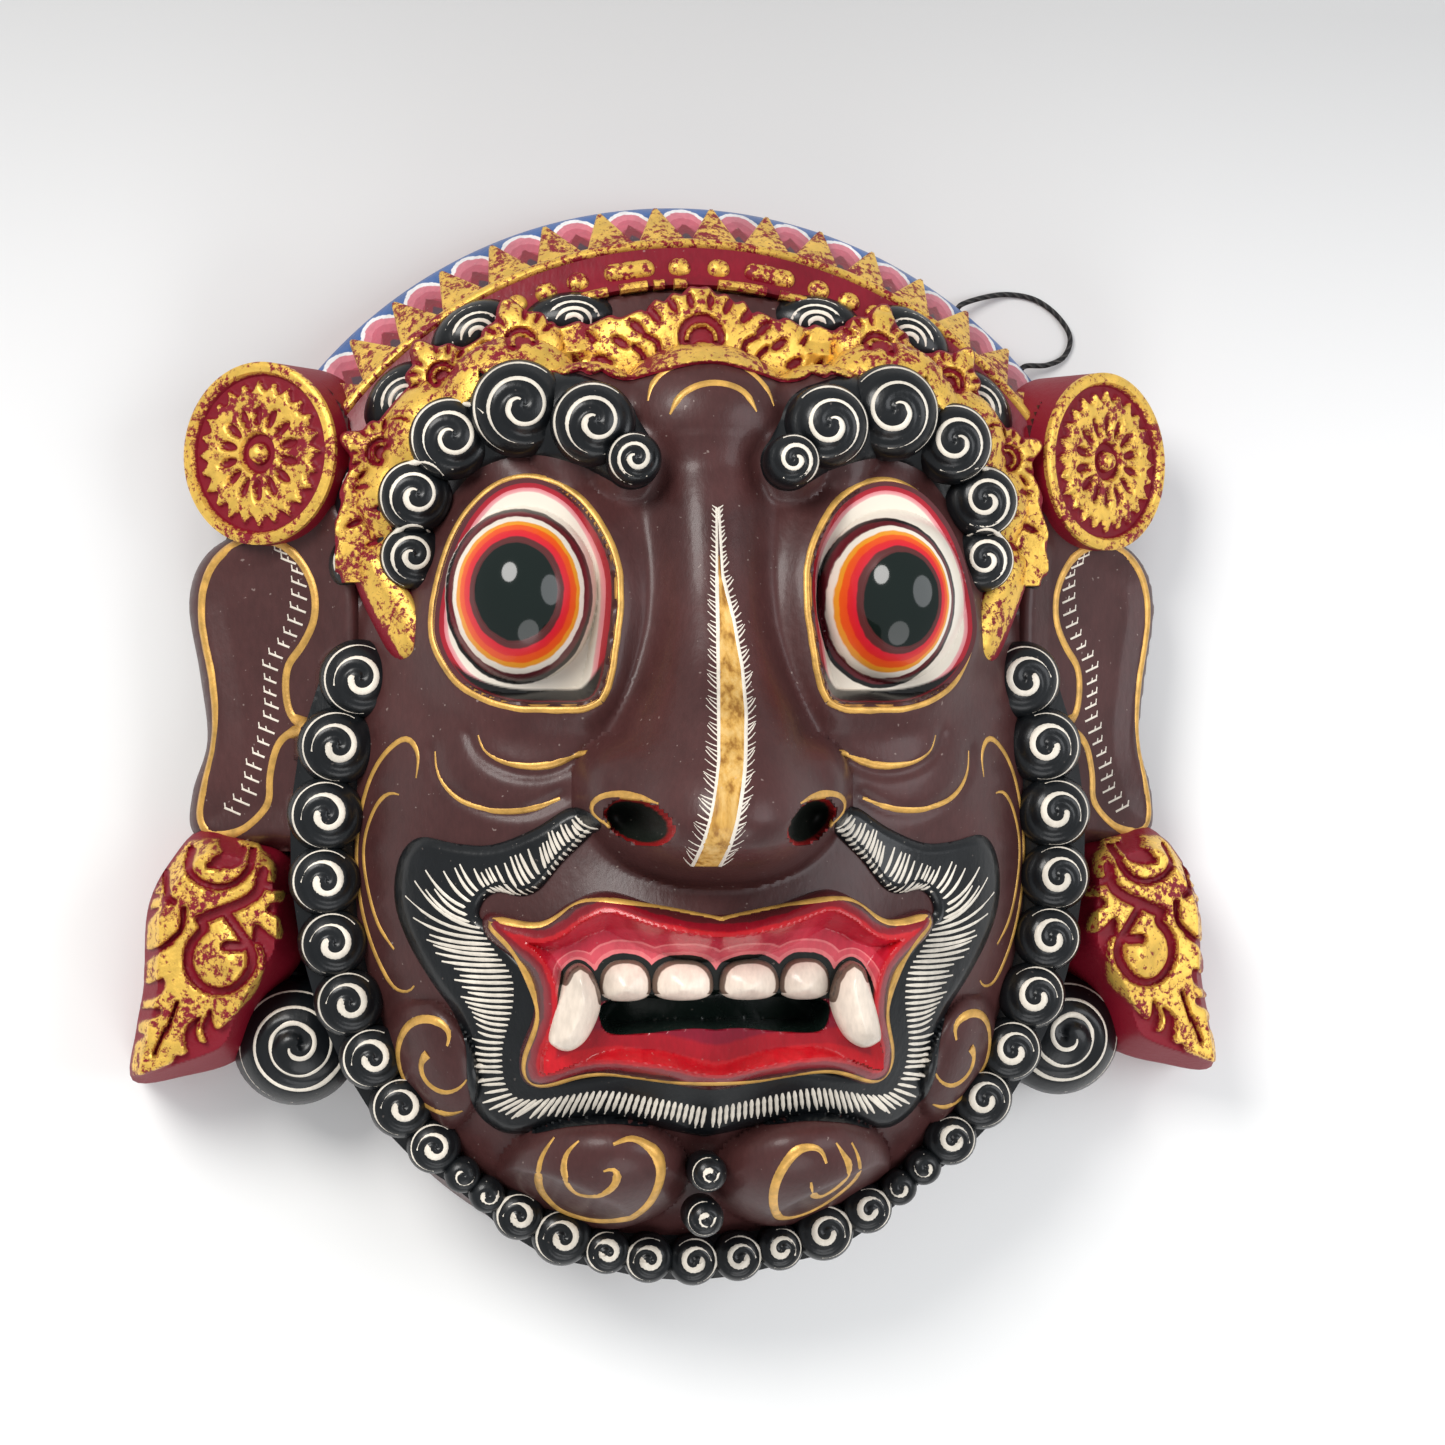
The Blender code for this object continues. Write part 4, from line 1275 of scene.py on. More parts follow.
def pill(name, half_length, radius, height):
    """A bead: a ball drawn out along X and flattened."""
    shape = bmesh.new()
    bmesh.ops.create_uvsphere(shape, u_segments=20, v_segments=12, radius=1.0)
    for vert in shape.verts:
        x, y, z = vert.co
        shift = (half_length - radius) * (1 if x > 1e-4 else -1 if x < -1e-4 else 0)
        vert.co = ((x * radius + shift) * MM, y * radius * MM, z * height * MM)
    mesh = bpy.data.meshes.new(name)
    shape.to_mesh(mesh)
    shape.free()
    mesh.shade_smooth()
    return bpy.data.objects.new(name, mesh)


def on_crown(degrees, reach, z, scale=(1.0, 1.0, 1.0)):
    """A spot on the crown for the repeating tree."""
    turn = math.radians(degrees)
    return (reach * math.sin(turn), CROWN_MIDDLE_Y + reach * math.cos(turn), z,
            (0.0, 0.0, -turn), scale)


wedge = hull_piece("crown_wedge", (
    (-7.0, -0.2, -0.6), (7.0, -0.2, -0.6), (0.0, -0.4, 1.2), (0.0, 12.2, -15.4), (-0.7, 11.8, -15.4),
    (0.7, 11.8, -15.4), (-7.0, -0.2, -7.0), (7.0, -0.2, -7.0), (0.0, 12.2, -24.0)), 0.3)
POINTS_ON_A_SIDE = 9
spots = [on_crown(POINT_STEP * (k + 0.5), 117.6, 40.8, (1.0, 1.0 + 0.03 * math.sin(3.1 * k), 1.0))
         for k in range(-POINTS_ON_A_SIDE, POINTS_ON_A_SIDE)]
keep(repeated("crown_points", wedge, spots, gold_leaf))

ROUND_BEADS = (-1.8, 3.7, 18.2, 22.8, 27.0, 31.0, -16.3, -21.0, -25.5, -30.0)
LONG_BEADS = (-8.9, 11.0, 35.5, -35.0)
round_bead = pill("round_bead", 3.1, 2.9, 2.2)
long_bead = pill("long_bead", 7.0, 2.8, 2.2)
keep(repeated("crown_round_beads", round_bead,
              [on_crown(a, 110.2, 45.6) for a in ROUND_BEADS], gold_leaf))
keep(repeated("crown_long_beads", long_bead,
              [on_crown(a, 110.4, 45.6) for a in LONG_BEADS], gold_leaf))

# %% [markdown]
# ## Ear discs
# Each disc is a drum that leans outwards, with a gilt flower and a gilt rim on its face.  A
# square grid would break up the round lines, so its face is worked out in rings and rays, and
# the rim, the lobed flower and the drops cut in it stay crisp.

# %% Turned forms
def polar_grid(rings, rays):
    """How far out, from 0 to 1, and how far round each point of a turned face is."""
    return np.meshgrid(np.linspace(1, rings, rings) / rings,
                       np.linspace(0, 2 * math.pi, rays, endpoint=False), indexing="ij")


def turned_faces(rows, rays):
    """Faces between rows of points, with one more point to close each end."""
    faces = [(i * rays + j, (i + 1) * rays + j, (i + 1) * rays + (j + 1) % rays,
              i * rays + (j + 1) % rays) for i in range(rows - 1) for j in range(rays)]
    top = rows * rays
    for j in range(rays):
        k = (j + 1) % rays
        faces += [(top, j, k), (top + 1, top - rays + k, top - rays + j)]
    return faces


# %% [markdown]
# ## Flower on the disc
# A lobed flower with a ring and cut drops fills the disc.  It could be set on as a piece of
# its own; the real one is cut from the drum, so it only raises the drum's face.

# %% Ear discs
DISC_THICKNESS = 20.0
PETAL_DROPS = 14
PETAL_FROM, PETAL_TO = 7.2, 12.8


def flower(ratio, turn):
    """Distance inside the gilt parts of the disc's face, in millimetres."""
    reach = ratio * DISC_RADIUS
    rim = reach - 21.3
    lobes = (16.6 + 2.9 * (1.0 - np.abs(np.sin(turn * 12.0))) - reach) * 0.8
    ring = np.abs(reach - 4.0) - 1.35
    middle, long = (PETAL_FROM + PETAL_TO) / 2, PETAL_TO - PETAL_FROM
    slot = (turn / (2 * math.pi) * PETAL_DROPS) % 1.0 - 0.5
    aside = slot * 2 * math.pi / PETAL_DROPS * reach
    half = 1.25 + 0.25 * (reach - middle) / long
    drop = (np.hypot((reach - middle) / (long / 2), aside / half) - 1.0) * 1.2
    return np.maximum(rim, np.minimum(np.minimum(lobes, ring), drop))


def ear_disc(name, side):
    """A leaning drum with the flower on its face."""
    rings, rays = 46, 180
    ratio, turn = polar_grid(rings, rays)
    gilt = flower(ratio, turn)
    height = raised(gilt, 1.9, 0.9) - 0.6 * np.clip((ratio - 0.97) / 0.03, 0, 1)
    height += 1.6 * np.clip(1 - (ratio * DISC_RADIUS / 2.8) ** 2, 0, 1)
    reach = ratio * DISC_RADIUS
    local = [np.stack((reach * np.cos(turn), reach * np.sin(turn), height), -1).reshape(-1, 3)]
    values = [gilt.ravel()]
    wall_rows = (-1.2, -8.0, -DISC_THICKNESS)
    for low in wall_rows:
        local.append(np.stack((DISC_RADIUS * np.cos(turn[0]), DISC_RADIUS * np.sin(turn[0]),
                               np.full(rays, low)), -1))
        values.append(np.full(rays, -3.0))
    local.append(np.array([(0, 0, 3.4), (0, 0, -DISC_THICKNESS)]))
    values.append(np.array([3.0, -3.0]))
    faces = turned_faces(rings + len(wall_rows), rays)
    lean = Matrix.Rotation(DISC_LEAN, 3, "Y")
    world = np.concatenate(local) @ np.array(lean).T
    world += np.array((DISC_MIDDLE[0], DISC_MIDDLE[1], DISC_MIDDLE_Z))
    if side < 0:
        world[:, 0] *= -1
        faces = [face[::-1] for face in faces]
    world[:, 2] = np.maximum(world[:, 2], 0.3)
    mesh = bpy.data.meshes.new(name)
    mesh.from_pydata((world * MM).tolist(), [], faces)
    store(mesh, "gilt", np.concatenate(values))
    mesh.materials.append(gilded)
    mesh.shade_smooth()
    mesh.set_sharp_from_angle(angle=math.radians(50.0))
    print(name, "faces:", len(faces))
    return link(bpy.data.objects.new(name, mesh))


for side, word in SIDES:
    keep(ear_disc(f"ear_disc_{word}", side))

# %% [markdown]
# ## Leaf pendants
# The pendants under the ears are flat leaves with lobed edges, cut with a crescent, a drop
# shaped groove round a bud, and side notches.  Gold leaf covers the front; the crimson bed
# shows in the cuts and as a sloping wall on the inner side.

# %% Leaf pendants
LEAF_GILT = (
    (130.4, -26.8), (136.5, -31.6), (139.3, -34.7), (140.4, -38.2), (138.5, -38.9), (140.9, -41.0),
    (138.2, -41.6), (141.7, -43.9), (141.5, -45.5), (138.7, -44.8), (141.7, -49.2), (141.9, -51.9),
    (142.3, -54.5), (141.4, -56.4), (137.4, -54.5), (134.3, -54.1), (140.0, -58.0), (143.0, -61.5),
    (143.2, -64.2), (141.4, -65.5), (137.1, -63.4), (137.5, -67.8), (143.6, -70.8), (143.6, -72.3),
    (138.6, -71.5), (138.6, -73.5), (144.6, -76.1), (145.0, -78.5), (143.3, -79.2), (147.2, -82.7),
    (149.2, -89.6), (147.0, -89.8), (138.0, -86.4), (136.1, -84.1), (134.3, -84.1), (132.8, -82.8),
    (133.0, -81.0), (132.1, -76.6), (128.6, -73.6), (130.0, -77.5), (129.5, -80.2), (128.0, -80.2),
    (128.6, -76.7), (126.9, -72.7), (126.0, -71.8), (126.0, -75.4), (124.7, -76.7), (120.3, -71.9),
    (116.8, -67.1), (114.4, -59.1), (115.5, -54.7), (117.3, -53.4), (116.8, -48.5), (113.3, -51.2),
    (110.3, -52.8), (109.8, -50.3), (111.1, -46.8), (114.2, -45.0), (112.4, -42.8), (109.8, -42.8),
    (109.4, -40.2), (114.2, -39.7), (114.6, -37.0), (112.0, -37.5), (111.6, -34.0), (112.9, -31.3),
    (115.1, -29.5), (117.7, -27.1))
leaf_gilt_line = rounded(LEAF_GILT, steps=3)
LEAF_CUTS = (
    (0.95, ((130.6, -29.4), (131.3, -33.9), (129.1, -37.4), (125.1, -39.0), (121.2, -37.9),
            (118.1, -33.9), (117.3, -29.5))),
    (2.0, ((123.0, -27.3), (121.6, -29.9), (124.6, -32.4))),
    (1.0, ((126.5, -33.2), (121.2, -32.6), (119.5, -29.1))),
    (1.15, ((128.2, -48.4), (127.8, -50.2), (130.4, -54.6), (130.8, -60.3), (128.2, -65.2),
            (124.7, -66.8), (120.8, -65.3), (117.7, -60.4), (117.7, -55.6), (119.5, -52.0),
            (123.0, -45.8))),
    (1.5, ((128.2, -47.6), (123.0, -44.9), (119.0, -42.8), (116.0, -39.7), (114.9, -34.8))),
    (0.75, ((132.1, -44.9), (132.6, -50.2), (134.8, -52.8), (137.8, -55.4))),
    (1.4, ((122.6, -54.6), (120.0, -54.7))),
    (0.9, ((137.1, -35.6), (136.5, -41.3), (134.8, -43.1))),
    (0.5, ((137.4, -78.0), (133.4, -70.0))), (0.5, ((141.6, -84.0), (137.5, -77.0))))


def leaf_gilt(x, y):
    """Distance inside the gilt parts of a pendant, drawn out to its outer edge."""
    right = np.abs(x)
    drawn_out = np.interp(y, (-92, -82, -70, -30), (0.4, 2.6, 4.3, 3.6))
    right = right - drawn_out * np.clip((right - 116) / 20, 0, 1)
    return np.minimum(depth_inside(right, y, leaf_gilt_line), cut_lines(right, y, LEAF_CUTS))


def leaf_top(x, y):
    """Front of a pendant: the crimson bed with the gilt carving on it."""
    right = np.abs(x)
    depth = depth_inside(right, y, leaf_line)
    bed = np.minimum(LEAF_MIDDLE_Z + 2.0 - (right - 112.0) * 0.38, 24.0 + np.maximum(depth, 0) * 2.6)
    bud = 3.0 * swell(right, y, (124.0, -59.0), (5.0, 6.5))
    return bed + raised(leaf_gilt(x, y), 3.0, 1.0) + bud


leaf_depth = lambda x, y: np.maximum(depth_inside(np.abs(x), y, leaf_line),
                                     depth_inside(np.abs(x), y, leaf_gilt_line))
leaf_colour = lambda x, y: np.minimum(leaf_gilt(x, y), leaf_depth(x, y) - WALL_MARGIN)
relief_pair("leaf", (100, 151.5, -96, -22), "gold_leaf",
            0.5, leaf_depth, leaf_top, level(0.4), 0.0, {"gilt": leaf_colour}, gilded)

# %% [markdown]
# ## Diadem
# A gilt band runs over the brows and down the temples.  A fan shaped crest stands in its
# middle with a half moon jewel; smaller crests repeat it at the sides.  One crest could be
# copied, but the carver fits each to the band, so band and crests are one field: the crest's
# gilding is written once, in its own across and out, and asked at four places.

# %% Diadem
DIADEM_PATH = rounded(((0, 107), (16, 106), (30, 103.5), (47, 102), (65, 95), (80, 79),
                       (87.5, 62), (89, 48)), closed=False)
BAND_CUT_PLACES = even(DIADEM_PATH, 27)
BAND_CUTS = []
for i, ((ax, ay), (bx, by)) in enumerate(zip(BAND_CUT_PLACES[:-1], BAND_CUT_PLACES[1:])):
    along = math.atan2(by - ay, bx - ax)
    out = -3.2 if i % 2 else 2.6
    BAND_CUTS.append((ax - out * math.sin(along), ay + out * math.cos(along), 0.85, 2.4,
                      along + math.pi / 2 - 0.5))
CREST_OUTLINE = across_the_middle((
    (0, 120.6), (2.6, 120.8), (4.6, 118.6), (7.2, 118.9), (9.4, 116.6), (12.0, 117.0), (14.2, 113.6),
    (17.0, 113.2), (18.6, 110.0), (22.0, 109.4), (23.6, 105.4), (27.6, 104.6), (29.4, 99.0),
    (22.0, 94.0), (0, 98.0)))
CREST_DROPS = (
    (2.7, 116.6, 1.0, 2.3, 1.4), (7.4, 115.4, 1.1, 2.6, 1.1), (12.4, 112.8, 1.2, 2.9, 0.9),
    (16.8, 109.4, 1.2, 2.7, 0.75), (21.2, 105.4, 1.2, 2.6, 0.6), (25.4, 100.6, 1.2, 2.6, 0.5))
CREST_CUTS = (
    (0.75, ((15.0, 107.2), (11.8, 105.4), (11.2, 101.6))),
    (0.75, ((17.6, 104.2), (15.2, 101.6), (15.4, 97.6))))
SIDE_UNITS = ((47.5, 104.5, 0.28, 1.0), (68.0, 96.0, 0.62, 0.9), (84.0, 76.0, 1.15, 0.85))


def jewel(x, y, size):
    """Gilt distance round a half moon: crimson moon with a thin gold arc in it."""
    reach = np.hypot(x, y * 1.04)
    moon = np.maximum(reach - 6.3 * size, -(y + 3.2 * size))
    arc = 0.45 - np.abs(np.hypot(x, y + 0.8 * size) - 3.9 * size)
    arc = np.where(y > -1.2 * size, arc, -5.0)
    foot = 1.9 * size - np.hypot(x * 0.8, y + 3.4 * size)
    return np.maximum(moon, np.maximum(arc, foot))


def unit_place(x, y, unit):
    """Coordinates in a side crest: across and out."""
    px, py, turn, size = unit
    dx, dy = x - px, y - py
    return ((dx * math.cos(turn) - dy * math.sin(turn)) / size,
            (dx * math.sin(turn) + dy * math.cos(turn)) / size)


def unit_edge(u, v):
    """Distance inside the lobed outline of a side crest."""
    turn = np.arctan2(u, v)
    return 9.6 + 2.6 * np.exp(-(turn / 0.35) ** 2) + 0.9 * np.cos(turn * 7.0) - np.hypot(u, v * 0.95)


def diadem_depth(x, y):
    """Distance inside the diadem's outline."""
    right = np.abs(x)
    depth = 7.6 + 0.6 * np.cos(right * 0.9 + y * 0.7) - distance_to_path(right, y, DIADEM_PATH)
    depth = np.maximum(depth, depth_inside(x, y, CREST_OUTLINE))
    for unit in SIDE_UNITS:
        u, v = unit_place(right, y, unit)
        depth = np.maximum(depth, unit_edge(u, v) * unit[3])
    return depth


def diadem_gilt(x, y):
    """Distance inside the diadem's gilt parts."""
    right = np.abs(x)
    gilt = np.minimum(diadem_depth(x, y) - 0.5, 4.0)
    gilt = np.minimum(gilt, drops(right, y, CREST_DROPS))
    gilt = np.minimum(gilt, cut_lines(right, y, CREST_CUTS))
    gilt = np.minimum(gilt, jewel(x, y - 107.0, 1.0))
    for unit in SIDE_UNITS:
        u, v = unit_place(right, y, unit)
        gilt = np.minimum(gilt, jewel(u, v - 0.4, 0.72) * unit[3])
        fan = [(9.0 * math.sin(a), 8.4 * math.cos(a), 0.75, 2.0, math.pi / 2 - a)
               for a in (-1.25, -0.8, -0.38, 0.38, 0.8, 1.25)]
        gilt = np.minimum(gilt, drops(u, v, fan) * unit[3])
    taken = depth_inside(x, y, CREST_OUTLINE)
    for unit in SIDE_UNITS:
        taken = np.maximum(taken, unit_edge(*unit_place(right, y, unit)) * unit[3])
    return np.where(taken > -0.8, gilt, np.minimum(gilt, drops(right, y, BAND_CUTS)))


def diadem_top(x, y):
    """Front of the diadem."""
    right = np.abs(x)
    away = distance_to_path(right, y, DIADEM_PATH)
    bed = 58.5 + 4.0 * np.clip(1.0 - away / 6.5, 0, 1) - 0.10 * right
    bed = np.where(right > 55, np.maximum(bed - 0.06 * (right - 55), 40), bed)
    crest = 8.0 * np.sqrt(np.clip(1.0 - (x / 31.0) ** 2 - ((y - 102.0) / 21.0) ** 2, 0, 1))
    field = np.maximum(bed, 57.5 + crest - 0.04 * right)
    for unit in SIDE_UNITS:
        u, v = unit_place(right, y, unit)
        dome = np.sqrt(np.clip(1.0 - (np.hypot(u, v) / 11.5) ** 2, 0, 1))
        field = np.maximum(field, 57.5 - 0.11 * (right - 30) + 6.0 * dome)
    field = np.maximum(field, np.minimum(skin_before_eyes(x, y) + 0.6, 84.0))
    return field + raised(diadem_gilt(x, y), 1.9, 0.9)


diadem_colour = lambda x, y: np.minimum(diadem_gilt(x, y), diadem_depth(x, y) - WALL_MARGIN)
keep(relief("diadem", (-96, 96, 42, 123), 0.5, diadem_depth, diadem_top, level(30.0), 0.0,
            {"gilt": diadem_colour}, gilded))

# %% [markdown]
# ## Petals at the temples
# A gilt petal hangs beside each eye.  It could be a bent plate, but on the real mask it is
# carved with the face, so it is a relief as well: both sides come from one outline.

# %% Temple petals
PETAL_OUTLINE = ((93.5, 50), (91.5, 44), (86.5, 32), (80.5, 21.5), (74, 22.5), (72.5, 30),
                 (75.5, 38), (80.5, 45.5), (85.5, 51.5))
petal_line = rounded(PETAL_OUTLINE)


def petal_depth(x, y):
    """Distance inside a temple petal."""
    return depth_inside(np.abs(x), y, petal_line)


def petal_gilt(x, y):
    """Gilt all over but for the outer side."""
    right = np.abs(x)
    edge = distance_to_path(right, y, [(91.0, 52.0), (92.5, 44.0), (87.0, 32.0), (80.5, 21.0)])
    return np.minimum(np.minimum(edge - 2.0, 3.0), petal_depth(x, y) - WALL_MARGIN)


def petal_top(x, y):
    """A long rounded petal."""
    depth = petal_depth(x, y)
    return 69.0 - (np.abs(x) - 74.0) * 0.75 - soft_edge(np.maximum(depth, 0), 7.0) * 0.8


relief_pair("temple_petal", (68, 98, 17, 56), "gold_leaf",
            0.5, petal_depth, petal_top, level(32.0), 0.0, {"gilt": petal_gilt}, gilded)

# %% [markdown]
# ## Eyes
# The ball bulges out of a sunken socket.  Its coloured rings aren't quite concentric: they
# crowd towards the pupil's side, so the rings' middle wanders from the ball's to the pupil's.

# %% Eyes
EYES = {
    1: {"ring": (45.4, 36.0), "reach": (17.6, 22.0), "pupil": (48.2, 36.6)},
    -1: {"ring": (-49.6, 37.4), "reach": (18.7, 22.5), "pupil": (-51.2, 38.2)}}


def ring_ratio(x, y, eye):
    """1 on the ball's outer ring and less towards the pupil."""
    ratio = np.full(x.shape, 0.8)
    for _ in range(4):
        lean = np.clip((1.0 - ratio) / 0.45, 0, 1)
        mx = eye["ring"][0] + (eye["pupil"][0] - eye["ring"][0]) * lean
        my = eye["ring"][1] + (eye["pupil"][1] - eye["ring"][1]) * lean
        ratio = np.clip(np.hypot((x - mx) / eye["reach"][0], (y - my) / eye["reach"][1]), 0, 2)
    return ratio


def eye_top(x, y):
    """Lid wall, socket and ball."""
    depth = depth_inside(np.abs(x), y, eye_line)
    sunken = np.maximum(skin_field(x, y) - np.maximum(depth, 0) * 2.6, SOCKET_Z + 4.5)
    ball = boss(np.abs(x), y, EYEBALL_MIDDLE, EYEBALL_REACH, EYEBALL_FOOT_Z, EYEBALL_RISE)
    return np.where(depth < 0.05, sunken + 0.25, np.maximum(sunken + 0.25, ball))


eye_paint, tree, shader = shader_of("eye_paint")
rim, wobble = wavering(tree, "rim", 5.0, 0.035)
ring = math_node(tree, "ADD", attribute(tree, "ring"), math_node(tree, "MULTIPLY", wobble, 0.6))
BROWN_LID = (0.10, 0.025, 0.028)
EYE_WHITE = (0.84, 0.77, 0.66)
PUPIL, PUPIL_EDGE, EYE_BLACK = (0.004, 0.010, 0.008), (0.10, 0.022, 0.022), (0.008, 0.008, 0.008)
outer = ramp(tree, rim, (
    (0.0, BROWN_LID), (0.12, BROWN_LID), (0.125, (0.36, 0.012, 0.025)), (0.24, (0.42, 0.015, 0.03)),
    (0.245, (0.72, 0.22, 0.25)), (0.33, (0.78, 0.38, 0.38)), (0.36, EYE_WHITE), (1.0, EYE_WHITE)))
inner = ramp(tree, ring, (
    (0.0, PUPIL), (0.275, PUPIL), (0.28, PUPIL_EDGE), (0.315, PUPIL_EDGE),
    (0.32, (0.62, 0.012, 0.03)), (0.355, (0.66, 0.02, 0.02)),
    (0.36, (0.75, 0.07, 0.012)), (0.39, (0.78, 0.10, 0.012)), (0.395, (0.80, 0.30, 0.02)),
    (0.415, (0.80, 0.32, 0.03)), (0.42, EYE_WHITE), (0.445, EYE_WHITE), (0.45, (0.11, 0.012, 0.018)),
    (0.478, (0.11, 0.012, 0.018)), (0.483, EYE_BLACK), (0.502, EYE_BLACK),
    (0.506, EYE_WHITE), (1.0, EYE_WHITE)))
on_ball = step_up(tree, ring, 0.506, 0.002)
colour = mix(tree, on_ball, inner, outer)
# Painted shade: black in the crease under each ball.
colour = mix(tree, attribute(tree, "shade"), colour, EYE_BLACK)
tree.links.new(colour, shader.inputs["Base Color"])
gloss = ramp(tree, ring, ((0.0, (0.08,) * 3), (0.275, (0.08,) * 3), (0.29, (0.3,) * 3),
                          (1.0, (0.34,) * 3)))
tree.links.new(gloss, shader.inputs["Roughness"])
shader.inputs["Coat Weight"].default_value = 0.15
shader.inputs["Coat Roughness"].default_value = 0.08
shader.inputs["Specular IOR Level"].default_value = 0.35


def eye_rim(x, y):
    """Distance inside the lids, in centimetres."""
    return np.clip(depth_inside(np.abs(x), y, eye_line) / 10.0, 0, 1)


def eye_ring(x, y):
    """Half the ring ratio, for both eyes."""
    return np.where(x > 0, ring_ratio(x, y, EYES[1]), ring_ratio(x, y, EYES[-1])) * 0.5


def eye_painted_shade(x, y):
    """The black crescent under the ball: painted shade in the crease below its bulge."""
    right = np.abs(x)
    depth = depth_inside(right, y, eye_line)
    ball = (np.hypot((right - 48.5) / 20.5, (y - 38.0) / 24.0) - 0.94) * 21.0
    inside = np.minimum(np.minimum(ball, depth - 1.3), (21.0 - y) * 0.42 + 1.3 - depth)
    return np.clip(inside / 0.7 + 0.5, 0, 1)


eye_fields = {"rim": eye_rim, "ring": eye_ring, "shade": eye_painted_shade}
eye_depth = lambda x, y: depth_inside(np.abs(x), y, eye_line)
relief_pair("eye", (22, 75, 5, 72), "cream_paint",
            0.4, eye_depth, eye_top, level(69.0), 0.0, eye_fields, eye_paint)

# %% [markdown]
# ## Moustache band
# A raised black band starts beside the nostrils, runs out and down round the mouth and closes
# under the lower lip.  Its inner edge lies hidden under the lips.

# %% Moustache band
BAND_OUTLINE = (
    (30.0, -21.5), (33.5, -17.6), (37.8, -17.2), (46.0, -22.4), (56.5, -26.6), (65.5, -26.4),
    (74.6, -25.0), (79.6, -30.5), (80.8, -41.5), (77.4, -52.4), (71.2, -63.0), (66.0, -70.4),
    (62.8, -78.6), (62.0, -89.6), (59.0, -98.0), (53.0, -103.0), (46.5, -103.2), (37.0, -100.2),
    (25.5, -99.0), (14.2, -100.6), (3.0, -103.2), (-6.0, -103.0), (-6.0, -86.0), (16.0, -84.0),
    (41.0, -87.0), (46.0, -82.0), (43.5, -70.0), (45.0, -61.0), (52.5, -52.0), (56.0, -47.6),
    (59.6, -45.2), (58.3, -40.8), (54.4, -38.6), (49.6, -39.7), (44.8, -37.9), (38.8, -30.7),
    (33.3, -25.4))
band_line = rounded(BAND_OUTLINE, steps=4)
band_depth = lambda x, y: depth_inside(np.abs(x), y, band_line)
inner_wood = lambda x, y: 0.84 * face_mound(x, y) - 2.0


def band_top(x, y):
    """Skin with the band standing on it."""
    return skin_field(x, y) + 0.4 + 2.1 * np.clip(band_depth(x, y) / 2.2, 0, 1) ** 0.7


moustache = keep(relief("moustache_band", (-84, 84, -106, -14), 0.6, band_depth, band_top, inner_wood,
                        6.0, None, black_paint))

# %% [markdown]
# ## Lips, gums and teeth
# The lips are one thick roll round the open mouth.  The distances to the lip's edge, to the
# teeth and to the dark opening are kept on the mesh, and the paint follows them in tiers.

# %% Lips
TEETH = ((8.6, -62.6, 7.9, 7.0), (23.3, -62.8, 6.8, 7.4))
FANG_OUTLINE = rounded(((30.6, -61.4), (32.4, -58.0), (35.2, -56.4), (38.0, -58.0), (39.4, -61.5),
                        (42.6, -74.5), (41.4, -77.6), (37.6, -78.6), (33.6, -76.0), (30.6, -70.5),
                        (29.6, -65.6)))
HOLE_OUTLINE = rounded(((-6, -64.0), (8, -64.5), (22, -65.0), (29.0, -67.0), (29.6, -71.0),
                        (27.0, -74.6), (18, -74.6), (6, -73.4), (-6, -73.4)))


def tooth_depth(x, y):
    """Distance inside the front teeth."""
    right = np.abs(x)
    depth = np.full(x.shape, -40.0)
    for px, py, half, rise in TEETH:
        tall = np.where(y > py, rise, 3.6)
        ratio = (np.abs((right - px) / half) ** 2.5 + np.abs((y - py) / tall) ** 2.5) ** 0.4
        depth = np.maximum(depth, (1.0 - ratio) * 5.0)
    return depth


def fang_depth(x, y):
    """Distance inside the fangs."""
    return depth_inside(np.abs(x), y, FANG_OUTLINE)


def hole_depth(x, y):
    """Distance inside the dark opening."""
    return depth_inside(np.abs(x), y, HOLE_OUTLINE)


def lip_top(x, y):
    """Rolled lips, gums behind them and the floor of the open mouth."""
    depth = depth_inside(x, y, lip_line)
    base = skin_field(x, y) + 2.5
    rolled = 6.0 * np.sqrt(np.clip(1.0 - ((depth - 5.0) / 5.0) ** 2, 0.0, 1.0))
    inner = 6.0 - 2.3 * np.maximum(depth - 5.0, 0.0)
    field = base + np.where(depth < 5.0, rolled, inner)
    gums = 96.5 - 0.06 * np.abs(x)
    field = np.where(depth > 5.0, np.maximum(field, gums), field)
    hole = hole_depth(x, y)
    return np.where(hole > 0, np.maximum(field - 8.0 * hole, MOUTH_FLOOR_Z), field)


lip_paint, tree, shader = shader_of("lip_paint")
edge, wobble = wavering(tree, "edge", 4.0, 0.09)
gum = math_node(tree, "ADD", attribute(tree, "gum"), math_node(tree, "MULTIPLY", wobble, 0.5))
DEEP_PINK, MID_PINK, LIGHT_PINK = (0.58, 0.03, 0.06), (0.70, 0.095, 0.125), (0.82, 0.21, 0.22)
lip_colour = ramp(tree, edge, (
    (0.0, (0.085, 0.012, 0.014)), (0.12, (0.085, 0.012, 0.014)), (0.14, (0.22, 0.004, 0.012)),
    (0.24, (0.26, 0.005, 0.014)), (0.27, (0.52, 0.006, 0.013)), (0.52, (0.50, 0.006, 0.013)),
    (0.56, (0.36, 0.004, 0.013)), (0.80, (0.34, 0.004, 0.014)), (0.86, (0.22, 0.004, 0.02)),
    (1.0, (0.20, 0.004, 0.02))))
gum_colour = ramp(tree, gum, (
    (0.0, (0.01, 0.012, 0.01)), (0.07, (0.01, 0.012, 0.01)), (0.075, LIGHT_PINK),
    (0.13, LIGHT_PINK), (0.135, MID_PINK), (0.24, MID_PINK), (0.245, LIGHT_PINK),
    (0.27, LIGHT_PINK), (0.275, DEEP_PINK), (0.42, DEEP_PINK), (0.46, (0.48, 0.012, 0.03))))
